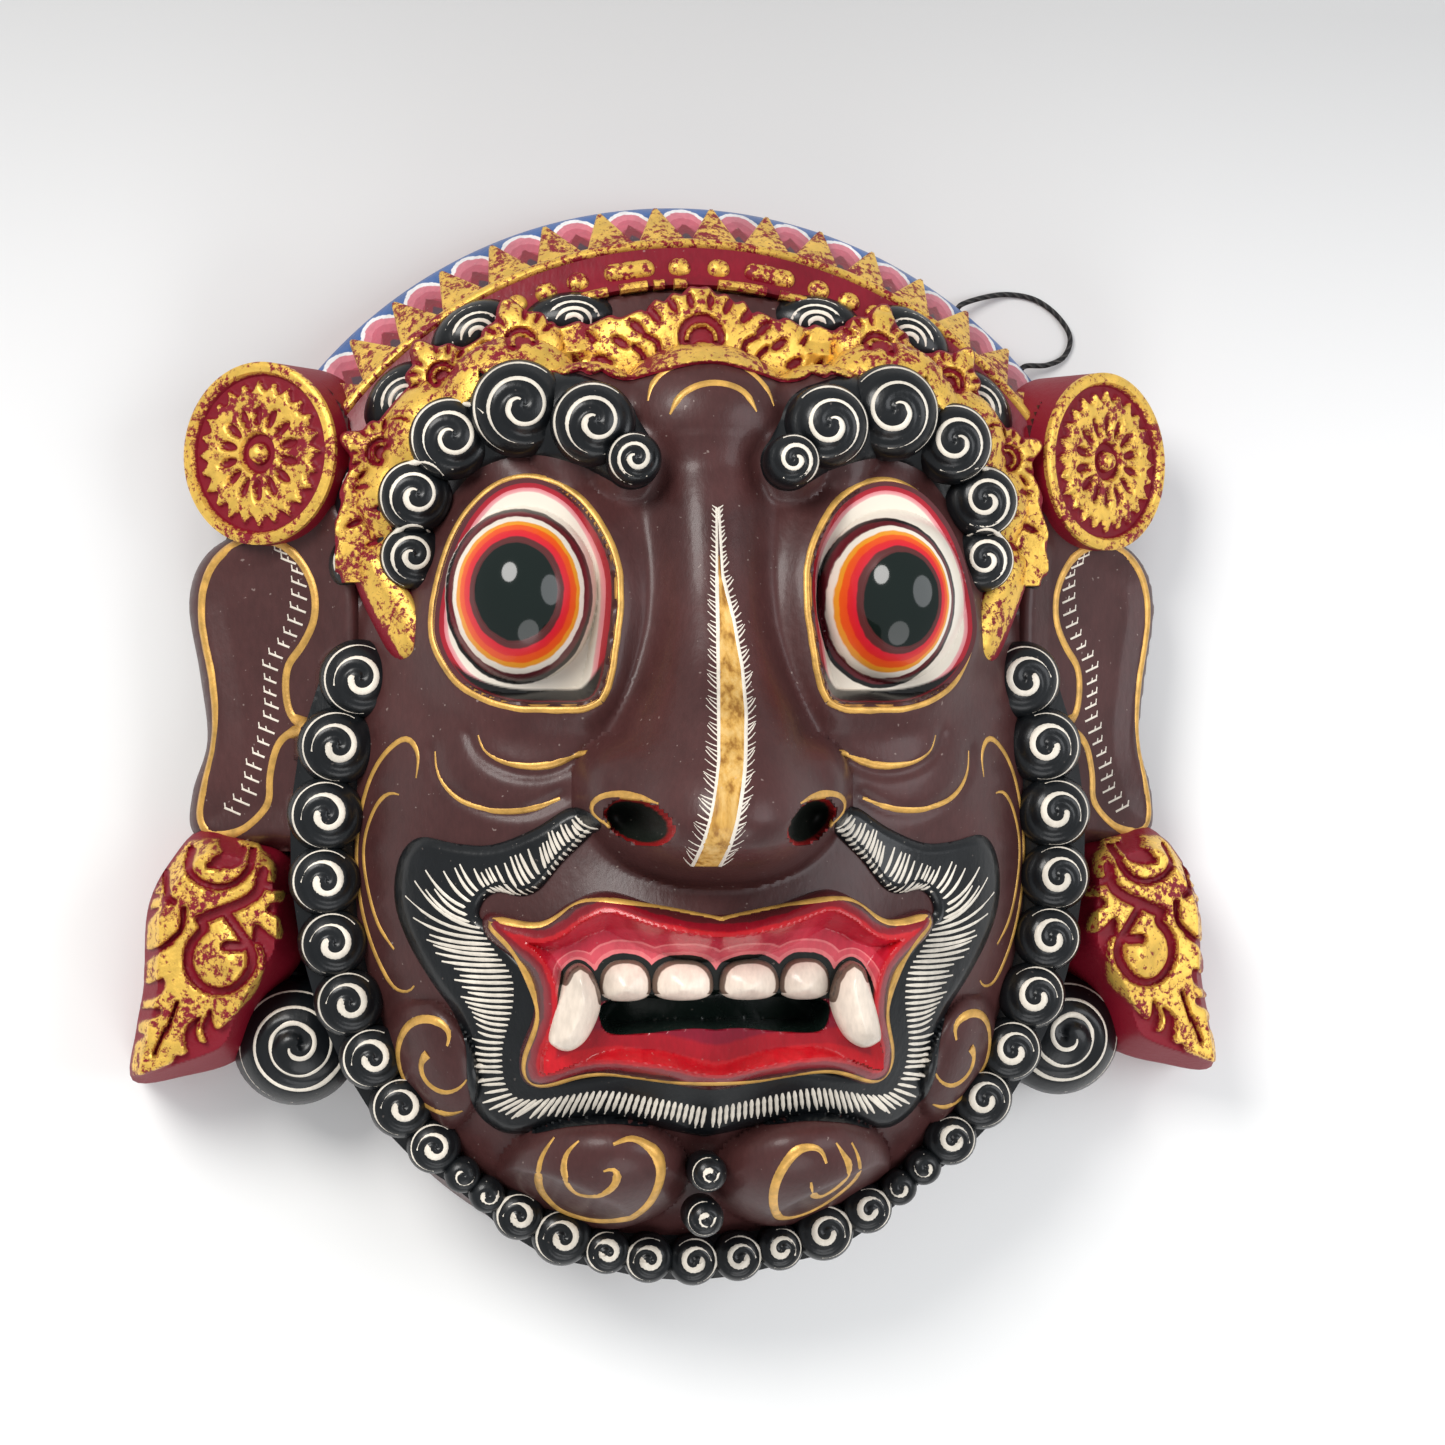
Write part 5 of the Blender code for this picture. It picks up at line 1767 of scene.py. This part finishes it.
colour = mix(tree, attribute(tree, "upper"), lip_colour, gum_colour)
colour = mix(tree, step_up(tree, attribute(tree, "hole"), 0.5, 0.1), colour, (0.006, 0.013, 0.010))
finish_paint(tree, shader, colour, 0.28, 0.3, 0.2)


def gum_share(x, y):
    """1 where the upper gum shows and 0 on the lips, with a short change between them."""
    between_corners = np.clip(41.0 - np.abs(x) * 0.9, 0, 1) * np.clip(y + 67.0, 0, 1)
    return between_corners * np.clip((depth_inside(x, y, lip_line) - 5.0) / 0.6, 0, 1)


LIP_FIELDS = {
    "edge": lambda x, y: np.clip(depth_inside(x, y, lip_line) / 15.0, 0, 1),
    "gum": lambda x, y: np.clip(-np.maximum(tooth_depth(x, y), fang_depth(x, y)) / 12.0, 0, 1),
    "upper": gum_share,
    "hole": lambda x, y: np.clip(hole_depth(x, y) / 0.8 + 0.5, 0, 1)}
lips = keep(relief("lips", (-61, 61, -94, -35), 0.5, lambda x, y: depth_inside(x, y, lip_line),
                   lip_top, inner_wood, 6.0, LIP_FIELDS, lip_paint))

# %% [markdown]
# ## Teeth and fangs
# Four blunt front teeth stand in the gums and a fang hangs at each corner.  They could be
# separate pegs, as on some masks; here they are low pillows in the block, with a grey edge
# that the brush left where the tooth meets the gum.

# %% Teeth
tooth_paint, tree, shader = shader_of("tooth_paint")
edge = wavering(tree, "edge", 3.0, 0.10)[0]
TOOTH_EDGE, TOOTH = (0.17, 0.115, 0.085), (0.86, 0.74, 0.62)
colour = ramp(tree, edge, ((0.0, (0.03, 0.022, 0.02)), (0.06, TOOTH_EDGE), (0.24, TOOTH_EDGE),
                           (0.30, TOOTH), (1.0, TOOTH)))
finish_paint(tree, shader, colour, 0.33, 0.3, 0.35)


def teeth_edge(x, y):
    """Grey edge round the upper part of every tooth; 1 where the tooth is plain."""
    away = np.where(y > -64.5, tooth_depth(x, y) / 3.0, 1.0)
    return np.clip(away, 0, 1)


def fang_edge(x, y):
    """Grey edge on the fang's upper and inner side."""
    right = np.abs(x)
    away = distance_to_path(right, y, [(39.0, -61.0), (37.6, -58.2), (35.2, -56.6), (32.6, -58.2),
                                       (30.8, -61.4), (29.7, -66.0)])
    return np.clip(away / 3.4, 0, 1)


def teeth_top(x, y):
    """Pillows that stand a little lower towards the corners of the mouth."""
    return 97.0 - 0.12 * np.abs(x) + 6.0 * np.sqrt(np.clip(tooth_depth(x, y) / 4.5, 0, 1))


fang_top = lambda x, y: 97.5 + 6.5 * np.sqrt(np.clip(fang_depth(x, y) / 5.0, 0, 1))
keep(relief("front_teeth", (-31, 31, -68, -54), 0.4, tooth_depth, teeth_top, level(88.0), 0.0,
            {"edge": teeth_edge}, tooth_paint))
relief_pair("fang", (28, 45, -81, -54), "cream_paint",
            0.4, fang_depth, fang_top, level(86.0), 0.0, {"edge": fang_edge}, tooth_paint)

# %% [markdown]
# ## Curls
# Every lock of brow and beard is rolled up like a snail.  One snail is shaped once, with a
# spiral groove, and a small tree sets it along the brows and round the jaw in its own sizes;
# the left side has the mirror image, because the locks roll the other way there.

# %% Snail and its copies
CURL_TURNS = 1.45


def lock(name, ratio, turn, height, tip, stem, hand=1):
    """A round lock of radius 1 on a stem, from its heights in rings and rays."""
    rings, rays = ratio.shape
    local = np.concatenate([
        np.stack((ratio * np.cos(turn), ratio * np.sin(turn), height), -1).reshape(-1, 3),
        np.stack((np.cos(turn[0]), np.sin(turn[0]), np.full(rays, -stem)), -1),
        np.array([(0, 0, tip), (0, 0, -stem)])])
    local[:, 0] *= hand
    faces = turned_faces(rings + 1, rays)
    if hand < 0:
        faces = [face[::-1] for face in faces]
    mesh = bpy.data.meshes.new(name)
    mesh.from_pydata((local * MM).tolist(), [], faces)
    mesh.shade_smooth()
    return bpy.data.objects.new(name, mesh)


def snail(name, hand, stem):
    """A rolled lock of radius 1: a dome with a spiral groove."""
    ratio, turn = polar_grid(16, 48)
    phase = (ratio * CURL_TURNS - (turn + 0.6) / (2 * math.pi)) % 1.0
    groove = np.exp(-(np.minimum(phase, 1 - phase) / 0.13) ** 2) * np.clip((0.98 - ratio) / 0.25, 0, 1)
    height = 0.95 * np.sqrt(np.maximum(1 - (ratio * 0.985) ** 2, 0)) - 0.085 * groove
    thing = lock(name, ratio, turn, height, 0.93, stem, hand)
    thing.data.set_sharp_from_angle(angle=math.radians(60.0))
    return thing


# %% [markdown]
# ## Curls in their places
# The snails are set along the brows and the jaw, with two alone under the lip and a big one
# behind each jaw.  Shapes of one kind are one piece a side, as they are never moved apart.

# %% Rows of rolled curls
LONG_STEM, SHORT_STEM = 1.7, 0.9
MIDDLE_CURL_X = 3.0
UPRIGHT = (0.0, 0.0, 0.0)
EAR_CURL, EAR_CURL_Z = (106.0, -82.0, 17.2), 22.0
snail_of = {side: snail(f"snail_{word}", -side, LONG_STEM) for side, word in SIDES}
big_snail_of = {side: snail(f"big_snail_{word}", -side, SHORT_STEM) for side, word in SIDES}
brow_spots = [(px, py, top + 3.0 - 0.95 * r, r * 1.08) for px, py, r, top in BROW_CURLS]
beard_spots = [(px, py, top - 0.95 * r, r * 1.12) for px, py, r, top in beard]
GOATEE = ((-112.5, 5.0, 84.0), (-125.2, 5.2, 76.0))
curls = {"brow": [], "beard": []}
for side, word in SIDES:
    for label, group in (("brow", brow_spots), ("beard", beard_spots)):
        spots = [(side * px, py, z + 0.2 * r, UPRIGHT, (r, r, 0.79 * r))
                 for px, py, z, r in group if side == 1 or px > MIDDLE_CURL_X]
        if label == "beard" and side == 1:
            spots += [(0.0, py, top - 0.95 * r, UPRIGHT, (r, r, r)) for py, r, top in GOATEE]
        thing = repeated(f"{label}_curls_{word}", snail_of[side], spots, black_paint)
        curls[label].append(keep(thing))

ear_curls = []
for side, word in SIDES:
    spot = [(side * EAR_CURL[0], EAR_CURL[1], EAR_CURL_Z, UPRIGHT, (17.2, 17.2, 17.0))]
    thing = repeated(f"ear_curl_{word}", big_snail_of[side], spot, black_paint)
    ear_curls.append(keep(thing))

# %% [markdown]
# ## Beds of hair
# The rolled locks stand on low beds of black hair, one under each brow's row and one round the
# jaw.  Without them brown skin would show between the curls.  A bed could be a plain strip;
# here it widens and narrows with the curls that it carries, so it never peeps out.

# %% Hair beds
def bed_of(spots, scale):
    """Distance inside the soft black bed under a row of curls."""
    path = [(px, py) for px, py, z, r in spots]
    radii = np.array([r for px, py, z, r in spots])

    def depth(x, y):
        right = np.abs(x)
        field = np.full(np.shape(x), -40.0)
        for (ax, ay), (bx, by), ra, rb in zip(path[:-1], path[1:], radii[:-1], radii[1:]):
            square = (bx - ax) ** 2 + (by - ay) ** 2
            t = np.clip(((right - ax) * (bx - ax) + (y - ay) * (by - ay)) / square, 0, 1)
            away = np.hypot(right - ax - t * (bx - ax), y - ay - t * (by - ay))
            field = np.maximum(field, (ra + (rb - ra) * t) * scale - away)
        return field

    return depth


brow_bed = bed_of(brow_spots, 1.06)
BED_EDGE_Z = ((-141, -125, -100, -60), (42.5, 44.0, 46.5, 48.5))
beard_bed_shape = bed_of(beard_spots, 0.92)


def brow_bed_top(x, y):
    """Skin with a thin swelling bed on it."""
    return skin_before_eyes(x, y) + 0.4 + 1.6 * np.clip(brow_bed(x, y) / 3.0, 0, 1) ** 0.6


def beard_bed_depth(x, y):
    """Distance inside the beard's bed, which ends at the jaw."""
    return np.minimum(beard_bed_shape(x, y), np.where(y > 0, 60.0, jaw_depth(x, y) - 0.5))


def beard_bed_top(x, y):
    """A bed that lies lower towards the chin."""
    return np.interp(y, *BED_EDGE_Z) + 3.5 * np.clip(beard_bed_depth(x, y) / 6.0, 0, 1)


relief_pair("brow_bed", (10, 92, 36, 102), "black_paint",
            0.8, brow_bed, brow_bed_top, inner_wood, 6.0, None, black_paint)
keep(relief("beard_bed", (-112, 112, -150, 26), 0.9, beard_bed_depth, beard_bed_top,
            level(22.0), 0.0, None, black_paint))

# %% [markdown]
# ## Hair tufts under the crown
# Between the crown and the diadem the hair swells out in domes.  Each could be carved on its
# own; they differ only in length, width and turn, so one plain dome is stretched to all ten.

# %% Hair tufts
ratio, turn = polar_grid(12, 40)
dome = lock("tuft_dome", ratio, turn, 0.9 * np.sqrt(np.maximum(1 - (ratio * 0.985) ** 2, 0)), 0.9, 0.9)
TUFTS = ((33.0, 113.0, 13.0, 7.5, -0.1), (59.0, 109.0, 12.5, 8.0, -0.55),
         (78.5, 91.0, 12.0, 8.0, -0.9), (88.5, 67.0, 12.0, 7.0, -1.25), (92.0, 48.0, 8.0, 5.5, -1.4))
tuft_spots = [(side * px, py, 48.0 - 0.05 * px, (0.0, 0.0, side * turn), (long, wide, 9.5))
              for px, py, long, wide, turn in TUFTS for side in (1, -1)]
tufts = keep(repeated("hair_tufts", dome, tuft_spots, black_paint))

# %% [markdown]
# ## Brush lines
# All fine lines of the photo are laid on the finished carving: a brush point comes straight
# down, touches what it meets and leaves a low bead of paint.  Cream for the hair, gold for the
# lines on the skin.

# %% Hair lines
rng = np.random.default_rng(7)


def spiral(cx, cy, start_ratio, end_ratio, start, turns, radius, hand, half, taper=(0.12, 0.3)):
    """A brush line wound round a curl, from near its middle outwards."""
    count = max(6, int(abs(turns) * math.pi * radius * (start_ratio + end_ratio)))
    route = []
    for i in range(count + 1):
        t = i / count
        ratio = start_ratio + (end_ratio - start_ratio) * t ** 0.85
        turn = start + turns * 2 * math.pi * t
        width = half * (1.0 + 0.10 * math.sin(9 * t + cx))
        width *= min(1.0, 0.45 + 0.55 * t / taper[0]) * min(1.0, 0.3 + 0.7 * (1 - t) / taper[1])
        route.append((cx + hand * ratio * radius * math.cos(turn),
                      cy + ratio * radius * math.sin(turn), width))
    return route


hair, ear_hair = [], []
for side, hand in ((1, -1), (-1, 1)):
    for index, (px, py, z, r) in enumerate(brow_spots + beard_spots):
        cx = side * px
        twist = rng.uniform(-0.3, 0.3)
        if side == -1 and px < MIDDLE_CURL_X:
            continue
        if index < len(brow_spots):
            hair.append(spiral(cx, py, 0.13, 0.78, 1.6 + twist, 1.55, r, hand, 0.62, (0.15, 0.2)))
            hair.append(spiral(cx, py, 0.90, 0.95, 0.9 + twist, 0.55, r, hand, 0.5, (0.2, 0.3)))
        elif r > 5.5:
            hair.append(spiral(cx, py, 0.14, 0.66, 2.4 + twist, 1.15, r, hand, 0.85, (0.05, 0.35)))
            hair.append(spiral(cx, py, 0.84, 0.88, 1.0 + twist, 0.6, r, hand, 0.42, (0.2, 0.3)))
        else:
            hair.append(spiral(cx, py, 0.15, 0.80, 1.5 + twist, 1.0, r, hand, 0.6))
    cx = side * EAR_CURL[0]
    ear_hair.append(spiral(cx, EAR_CURL[1], 0.12, 0.94, 3.4, 3.2, EAR_CURL[2], hand, 0.55,
                           (0.05, 0.08)))
for py, r, top in GOATEE:
    hair.append(spiral(0.0, py, 0.15, 0.55, 0.2, 1.0, r, 1, 0.6))
    hair.append(spiral(0.0, py, 0.86, 0.86, 1.0, 0.85, r, 1, 0.35))
for side in (1, -1):
    for px, py, long, wide, turn in TUFTS:
        for k in range(5):
            reach = 0.18 + 0.19 * k
            route = []
            for i in range(13):
                a = math.radians(200 - 15.5 * i)
                u, v = reach * long * math.cos(a), reach * wide * math.sin(a) * 1.35 - 1.2
                x = px + u * math.cos(turn) - v * math.sin(turn)
                y = py + u * math.sin(turn) + v * math.cos(turn)
                route.append((side * x, y, 0.58 * min(1.0, 0.4 + 0.25 * min(i, 12 - i))))
            hair.append(route)
on_hair = curls["brow"] + curls["beard"] + [tufts]
keep(brush_lines("hair_lines", hair, on_hair, cream_paint))
keep(brush_lines("ear_curl_lines", ear_hair, ear_curls, cream_paint))

# %% [markdown]
# ## Strokes of the moustache
# Fine cream strokes run across the band from its inner to its outer edge.  The photo gives a
# root and a tip for about thirty of them.  Drawing each by hand would look no better; two more
# strokes are worked out between neighbours, a little shorter by chance.

# %% Moustache lines
ROOTS = ((30.6, -22.1), (33, -24.2), (36, -27.9), (38.2, -30), (41.2, -34.2), (43.4, -36.2),
         (46.3, -38.8), (50, -39.4), (54.6, -38.6), (57.2, -40), (58.7, -41.2), (59.4, -42.7),
         (60.2, -44.5), (60.6, -46.3), (59.6, -48), (58.1, -50.2), (56.9, -52), (55, -55),
         (53, -57.6), (51.3, -61.6), (51.2, -67.8), (52.4, -74), (53.4, -80), (52.6, -88.2),
         (49.5, -92.8), (43.5, -93.2), (36, -91.6), (27, -90.2), (15, -92), (1.2, -95))
TIPS = ((36.3, -18.6), (37.6, -20.6), (41.2, -20.4), (43.3, -22.5), (45.1, -25.7), (51.5, -25.6),
        (52.1, -29.7), (57.5, -31.5), (59.6, -33.0), (66, -29.7), (67.5, -32.1), (73.3, -30.9),
        (73.3, -35.7), (72.9, -38.7), (79, -34), (78.6, -43.6), (75.6, -50), (71.1, -53),
        (70.6, -57.3), (65.7, -62.1), (64.2, -67), (61.8, -71.8), (61.0, -80), (60.6, -88.5),
        (57, -97), (49.4, -99.6), (39, -98.6), (29, -97), (16, -98.4), (1.5, -101.4))
STROKES_A_GAP = 3
whiskers = []
for rx, ry in even(rounded(ROOTS, closed=False), (len(ROOTS) - 1) * STROKES_A_GAP + 1):
    away = np.linalg.norm(np.array(ROOTS) - (rx, ry), axis=1)
    near = np.argsort(away)[:2]
    share = away[near[1]] / (away[near].sum() + 1e-9)
    tip = np.array(TIPS[near[0]]) * share + np.array(TIPS[near[1]]) * (1 - share)
    reach = rng.uniform(0.78, 1.0)
    for side in (1, -1):
        tx, ty = rx + (tip[0] - rx) * reach, ry + (tip[1] - ry) * reach
        lower = ry < -86
        mx = rx + (tx - rx) * (0.5 if lower else 0.6)
        my = (ry + ty) / 2 if lower else ry + 0.12 * (ty - ry) - 0.7
        line = []
        for k in range(9):
            t = k / 8
            x = (1 - t) ** 2 * rx + 2 * t * (1 - t) * mx + t * t * tx
            y = (1 - t) ** 2 * ry + 2 * t * (1 - t) * my + t * t * ty
            line.append((side * x, y, 0.46 * min(1.0, 0.5 + 2.5 * t, 0.45 + 1.8 * (1 - t))))
        whiskers.append(line)
keep(brush_lines("moustache_lines", whiskers, [moustache], cream_paint))

# %% [markdown]
# ## Gold lines
# Gold lines frame the eyes, nostrils, cheeks, chin, lips and ears.  They could be painted in a
# texture, but real gold paint stands up and catches the light; so they are beads as well, a
# little wider than the hair's, along the routes of the photo.

# %% Gold lines on the skin
FOREHEAD_OUTER = ((-16.2, 88.1), (-14.6, 93.3), (-9.5, 97.2), (0.2, 98.9), (8.8, 97.5),
                  (14.8, 92.4), (16.9, 87.2))
FOREHEAD_INNER = ((-10.9, 84.3), (-8.1, 89.3), (-2.6, 92.3), (3.6, 92.5), (8.8, 90.3), (11.9, 85.3))
UNDER_EYE = ((60, 1.6), (58, -2.9), (51.4, -6.0), (42.4, -6.2), (33, -2.6))
UNDER_EYE_LOW = ((70.6, -2.6), (69.8, -8.8), (65.4, -14.6), (56.2, -17.8), (47, -17.3),
                 (39.4, -14.6))
SIDE_ARC = ((75.4, -9.6), (74.9, -3.3), (77.6, 0.9), (82.4, -2.3), (86.6, -9.1), (89.4, -19.3),
            (90.4, -30.4), (89.4, -42.4), (86.8, -53.0), (83.4, -61.0), (80.4, -65.4),
            (77, -66.0), (75.6, -64.2))
SIDE_ARC_INNER = ((79.6, -14.0), (82.2, -13.6), (85.4, -17.0), (88.0, -24.2), (88.6, -31.4),
                  (87.2, -40.6), (84.7, -48.8), (80.8, -54.8))
CHEEK_OUTER = ((-67.5, -79.4), (-66.8, -76.0), (-69.0, -73.5), (-72.7, -72.5), (-76.4, -74.0),
               (-78.8, -77.7), (-79.7, -82.6), (-78.8, -87.5), (-76.4, -92.5), (-72.7, -96.5),
               (-67.1, -98.4), (-62.8, -97.3))
CHEEK_INNER = ((-62.2, -88.3), (-64.1, -90.8), (-67.8, -92.3), (-71.4, -90.7), (-73.6, -87.6),
               (-73.9, -83.9), (-72.4, -81.8))
CHIN_LINES = (
    ((-25.6, -103.9), (-21.1, -102.3), (-17.3, -103.7), (-14.0, -106.6), (-12.4, -111.1),
     (-13.1, -116.9), (-15.3, -122.0), (-19.2, -125.8), (-24.3, -127.6), (-29.5, -127.5),
     (-35.9, -125.4), (-39.7, -122.2), (-42.6, -117.7), (-43.7, -111.9), (-42.9, -107.4),
     (-39.9, -102.7)),
    ((-27.9, -111.0), (-25.6, -110.1), (-24.3, -111.6), (-24.5, -114.5), (-26.9, -117.3),
     (-30.1, -118.8), (-34.0, -118.1), (-36.5, -115.2), (-37.8, -110.7), (-36.9, -106.3),
     (-34.0, -103.1)),
    ((30.4, -109.9), (28.8, -106.3), (26.2, -105.3), (22.3, -106.2), (19.0, -110.4),
     (17.4, -115.5), (17.7, -120.6), (19.7, -125.2), (22.9, -127.5), (28.1, -127.3),
     (33.3, -124.8), (37.9, -120.4), (40.5, -115.9), (40.2, -110.1), (37.6, -104.9)),
    ((26.8, -115.0), (27.5, -117.6), (28.8, -119.9), (31.4, -120.6), (34.7, -118.4),
     (36.9, -115.2), (37.3, -111.3), (35.3, -108.1), (33.0, -104.5)))
CHIN_HALVES = (1.5, 1.05, 1.2, 1.0)
NOSTRIL_ARC = ((-17.8, -15.2), (-20.5, -14.2), (-25.0, -13.0), (-30.0, -13.5), (-32.6, -16.0),
               (-31.6, -18.9), (-28.0, -21.4))


def moved_out(outline, by):
    """A closed outline shifted sideways, outwards for a positive distance."""
    line = np.array([tuple(p[:2]) for p in outline], dtype=float)
    along = np.roll(line, -1, axis=0) - np.roll(line, 1, axis=0)
    aside = np.stack((along[:, 1], -along[:, 0]), -1)
    aside /= np.linalg.norm(aside, axis=1)[:, None] + 1e-9
    around = np.sum(line[:, 0] * np.roll(line[:, 1], -1) - line[:, 1] * np.roll(line[:, 0], -1))
    return [tuple(p) for p in line + aside * by * (1 if around > 0 else -1)]


gold = [stroke(line, 0.95, taper=(0.12, 0.12)) for line in (FOREHEAD_OUTER, FOREHEAD_INNER)]
gold += both_sides([
    stroke(UNDER_EYE, 0.85, taper=(0.6, 0.2), blob=0.2),
    stroke(UNDER_EYE_LOW, 0.95, taper=(0.6, 0.15), blob=0.25),
    stroke(SIDE_ARC, 0.75, taper=(0.1, 0.1)),
    stroke(SIDE_ARC_INNER, 0.65, taper=(0.1, 0.1), blob=0.2),
    stroke(CHEEK_OUTER, 1.1, taper=(0.15, 0.1)),
    stroke(CHEEK_INNER, 0.9, taper=(0.4, 0.1), blob=0.9),
    stroke(NOSTRIL_ARC, 0.8, taper=(0.3, 0.2)),
    stroke(moved_out(EYE_OUTLINE, 0.8), 0.75, closed=True)])
gold += [stroke(line, half, taper=(0.15, 0.25)) for line, half in zip(CHIN_LINES, CHIN_HALVES)]
keep(brush_lines("gold_lines_skin", gold, [body], gold_paint, calm=1))

lip_gold = [stroke(moved_out(lip_line[::8], -0.7), 1.0, closed=True)]
keep(brush_lines("gold_line_lips", lip_gold, [lips], gold_paint, calm=4))

EAR_GOLD = ((119, 54.6), (111, 53.2), (105.4, 48.6), (101.6, 41.0), (101.4, 32.6), (104.6, 25.4),
            (108.3, 20.2), (108.9, 12.9), (107.3, 6.4), (103.0, 3.4), (107.4, 2.4), (111.2, -1.4),
            (113.2, -9.8), (113.6, -16.9), (118.8, -22.8), (124.2, -25.7), (130.2, -25.2),
            (132.2, -20), (130.4, -10), (128.4, -1), (128.0, 8), (129.0, 18), (131.0, 28),
            (131.8, 37), (130.0, 45), (126.0, 51))
ear_gold = both_sides([stroke(EAR_GOLD, 1.1, closed=True)])
keep(brush_lines("gold_lines_ears", ear_gold, [body], gold_paint))

# %% [markdown]
# ## Fine hairs
# The nose strip has a cream edge with short hairs that grow outwards and up, and small forked
# hairs stand along the inner edge of each ear.  There are too many to trace, and no two are
# alike, so their length is drawn by chance within the range seen in the photo.

# %% Fine cream hairs
fine = []
for side in (-1, 1):
    edge_line = []
    for y in np.arange(-31.0, 60.6, 1.3):
        half = float(np.interp(y, STRIP_Y, STRIP_HALF)) + 0.25
        x = float(np.interp(y, STRIP_Y, STRIP_X)) + side * half
        edge_line.append((x, y, 0.48 if y < 42 else 0.34))
        long = float(np.interp(y, (-31, 0, 40, 58), (2.9, 2.7, 2.0, 1.1))) * rng.uniform(0.8, 1.15)
        lift = 0.75 + 0.35 * math.sin(y)
        fine.append([(x + side * long * t, y + long * lift * t * (0.6 + 0.4 * t),
                      0.27 * (1.15 - 0.75 * t)) for t in (0.0, 0.33, 0.66, 1.0)])
    fine.append(edge_line)
COMB_LINE = ((108.5, 50.0), (104.0, 44.0), (103.4, 36.0), (105.0, 29.6), (108.6, 24.0),
             (111.0, 19.0), (111.4, 12.0), (110.6, 6.6), (112.0, 1.6), (114.4, -4.0),
             (115.8, -10.0), (117.0, -15.5), (121.0, -20.0))
combs = []
for x, y in even(rounded(COMB_LINE, closed=False), 23):
    long = rng.uniform(3.2, 4.8)
    tip = (x + long * 0.92, y + long * 0.38)
    combs.append([(x + (tip[0] - x) * t, y + (tip[1] - y) * t, 0.3) for t in (0.0, 0.3, 0.6, 0.8, 1.0)])
    for t, rise in ((0.5, 1.2), (0.95, 1.5)):
        foot = (x + (tip[0] - x) * t, y + (tip[1] - y) * t)
        combs.append([(foot[0] + 0.2 * k, foot[1] + rise * k, 0.26) for k in (0.0, 0.5, 1.0)])
keep(brush_lines("fine_hairs", fine + both_sides(combs), [body], cream_paint, sides=6, calm=0))

# %% [markdown]
# ## Floor and light
# The photograph shows the mask cut out on a pale ground that turns grey at the top.  A large
# soft light from the upper left and a fill from the right give the soft gloss on the paint.

# %% Stage
floor_mesh = bpy.data.meshes.new("floor")
reach = 3.0
floor_mesh.from_pydata([(-reach, -reach, 0), (reach, -reach, 0), (reach, reach, 0), (-reach, reach, 0)],
                       [], [(0, 1, 2, 3)])
floor_finish, tree, shader = shader_of("floor_paper")
place_node = tree.nodes.new("ShaderNodeTexCoord")
split = tree.nodes.new("ShaderNodeSeparateXYZ")
tree.links.new(place_node.outputs["Object"], split.inputs["Vector"])
up = tree.nodes.new("ShaderNodeMapRange")
up.inputs["From Min"].default_value = -0.02
up.inputs["From Max"].default_value = 0.21
tree.links.new(split.outputs["Y"], up.inputs["Value"])
# Painted shade: the floor's colour darkens towards the top, where less light would reach.
pale_to_painted_shade = ((0.0, (0.90, 0.90, 0.89)), (0.35, (0.80,) * 3), (1.0, (0.50,) * 3))
tree.links.new(ramp(tree, up.outputs["Result"], pale_to_painted_shade), shader.inputs["Base Color"])
shader.inputs["Roughness"].default_value = 0.9
floor_mesh.materials.append(floor_finish)
floor = link(bpy.data.objects.new("floor", floor_mesh))


def area_light(name, place, target, size, power, colour=(1, 1, 1)):
    """A round soft light, in metres, aimed at a point."""
    data = bpy.data.lights.new(name, "AREA")
    data.shape = "DISK"
    data.size = size
    data.energy = power
    data.color = colour
    light = link(bpy.data.objects.new(name, data))
    light.location = place
    aim = Vector(target) - Vector(place)
    light.rotation_euler = aim.to_track_quat("-Z", "Y").to_euler()


FACE_MIDDLE = (0, 0, 0.05)
area_light("key", (-0.75, 0.75, 1.15), FACE_MIDDLE, 0.7, 17.0, (1.0, 0.98, 0.95))
area_light("fill", (0.95, 0.15, 0.95), FACE_MIDDLE, 0.9, 7.0, (0.95, 0.97, 1.0))
area_light("low", (0.1, -1.0, 0.8), FACE_MIDDLE, 0.8, 4.0)
world = bpy.data.worlds.new("pale_room")
bpy.context.scene.world = world
world.use_nodes = True
world.node_tree.nodes["Background"].inputs["Color"].default_value = (0.95, 0.97, 1.0, 1.0)
world.node_tree.nodes["Background"].inputs["Strength"].default_value = 0.5
bpy.context.scene.view_settings.view_transform = "Standard"
print("lights:", [light.name for light in bpy.data.lights])
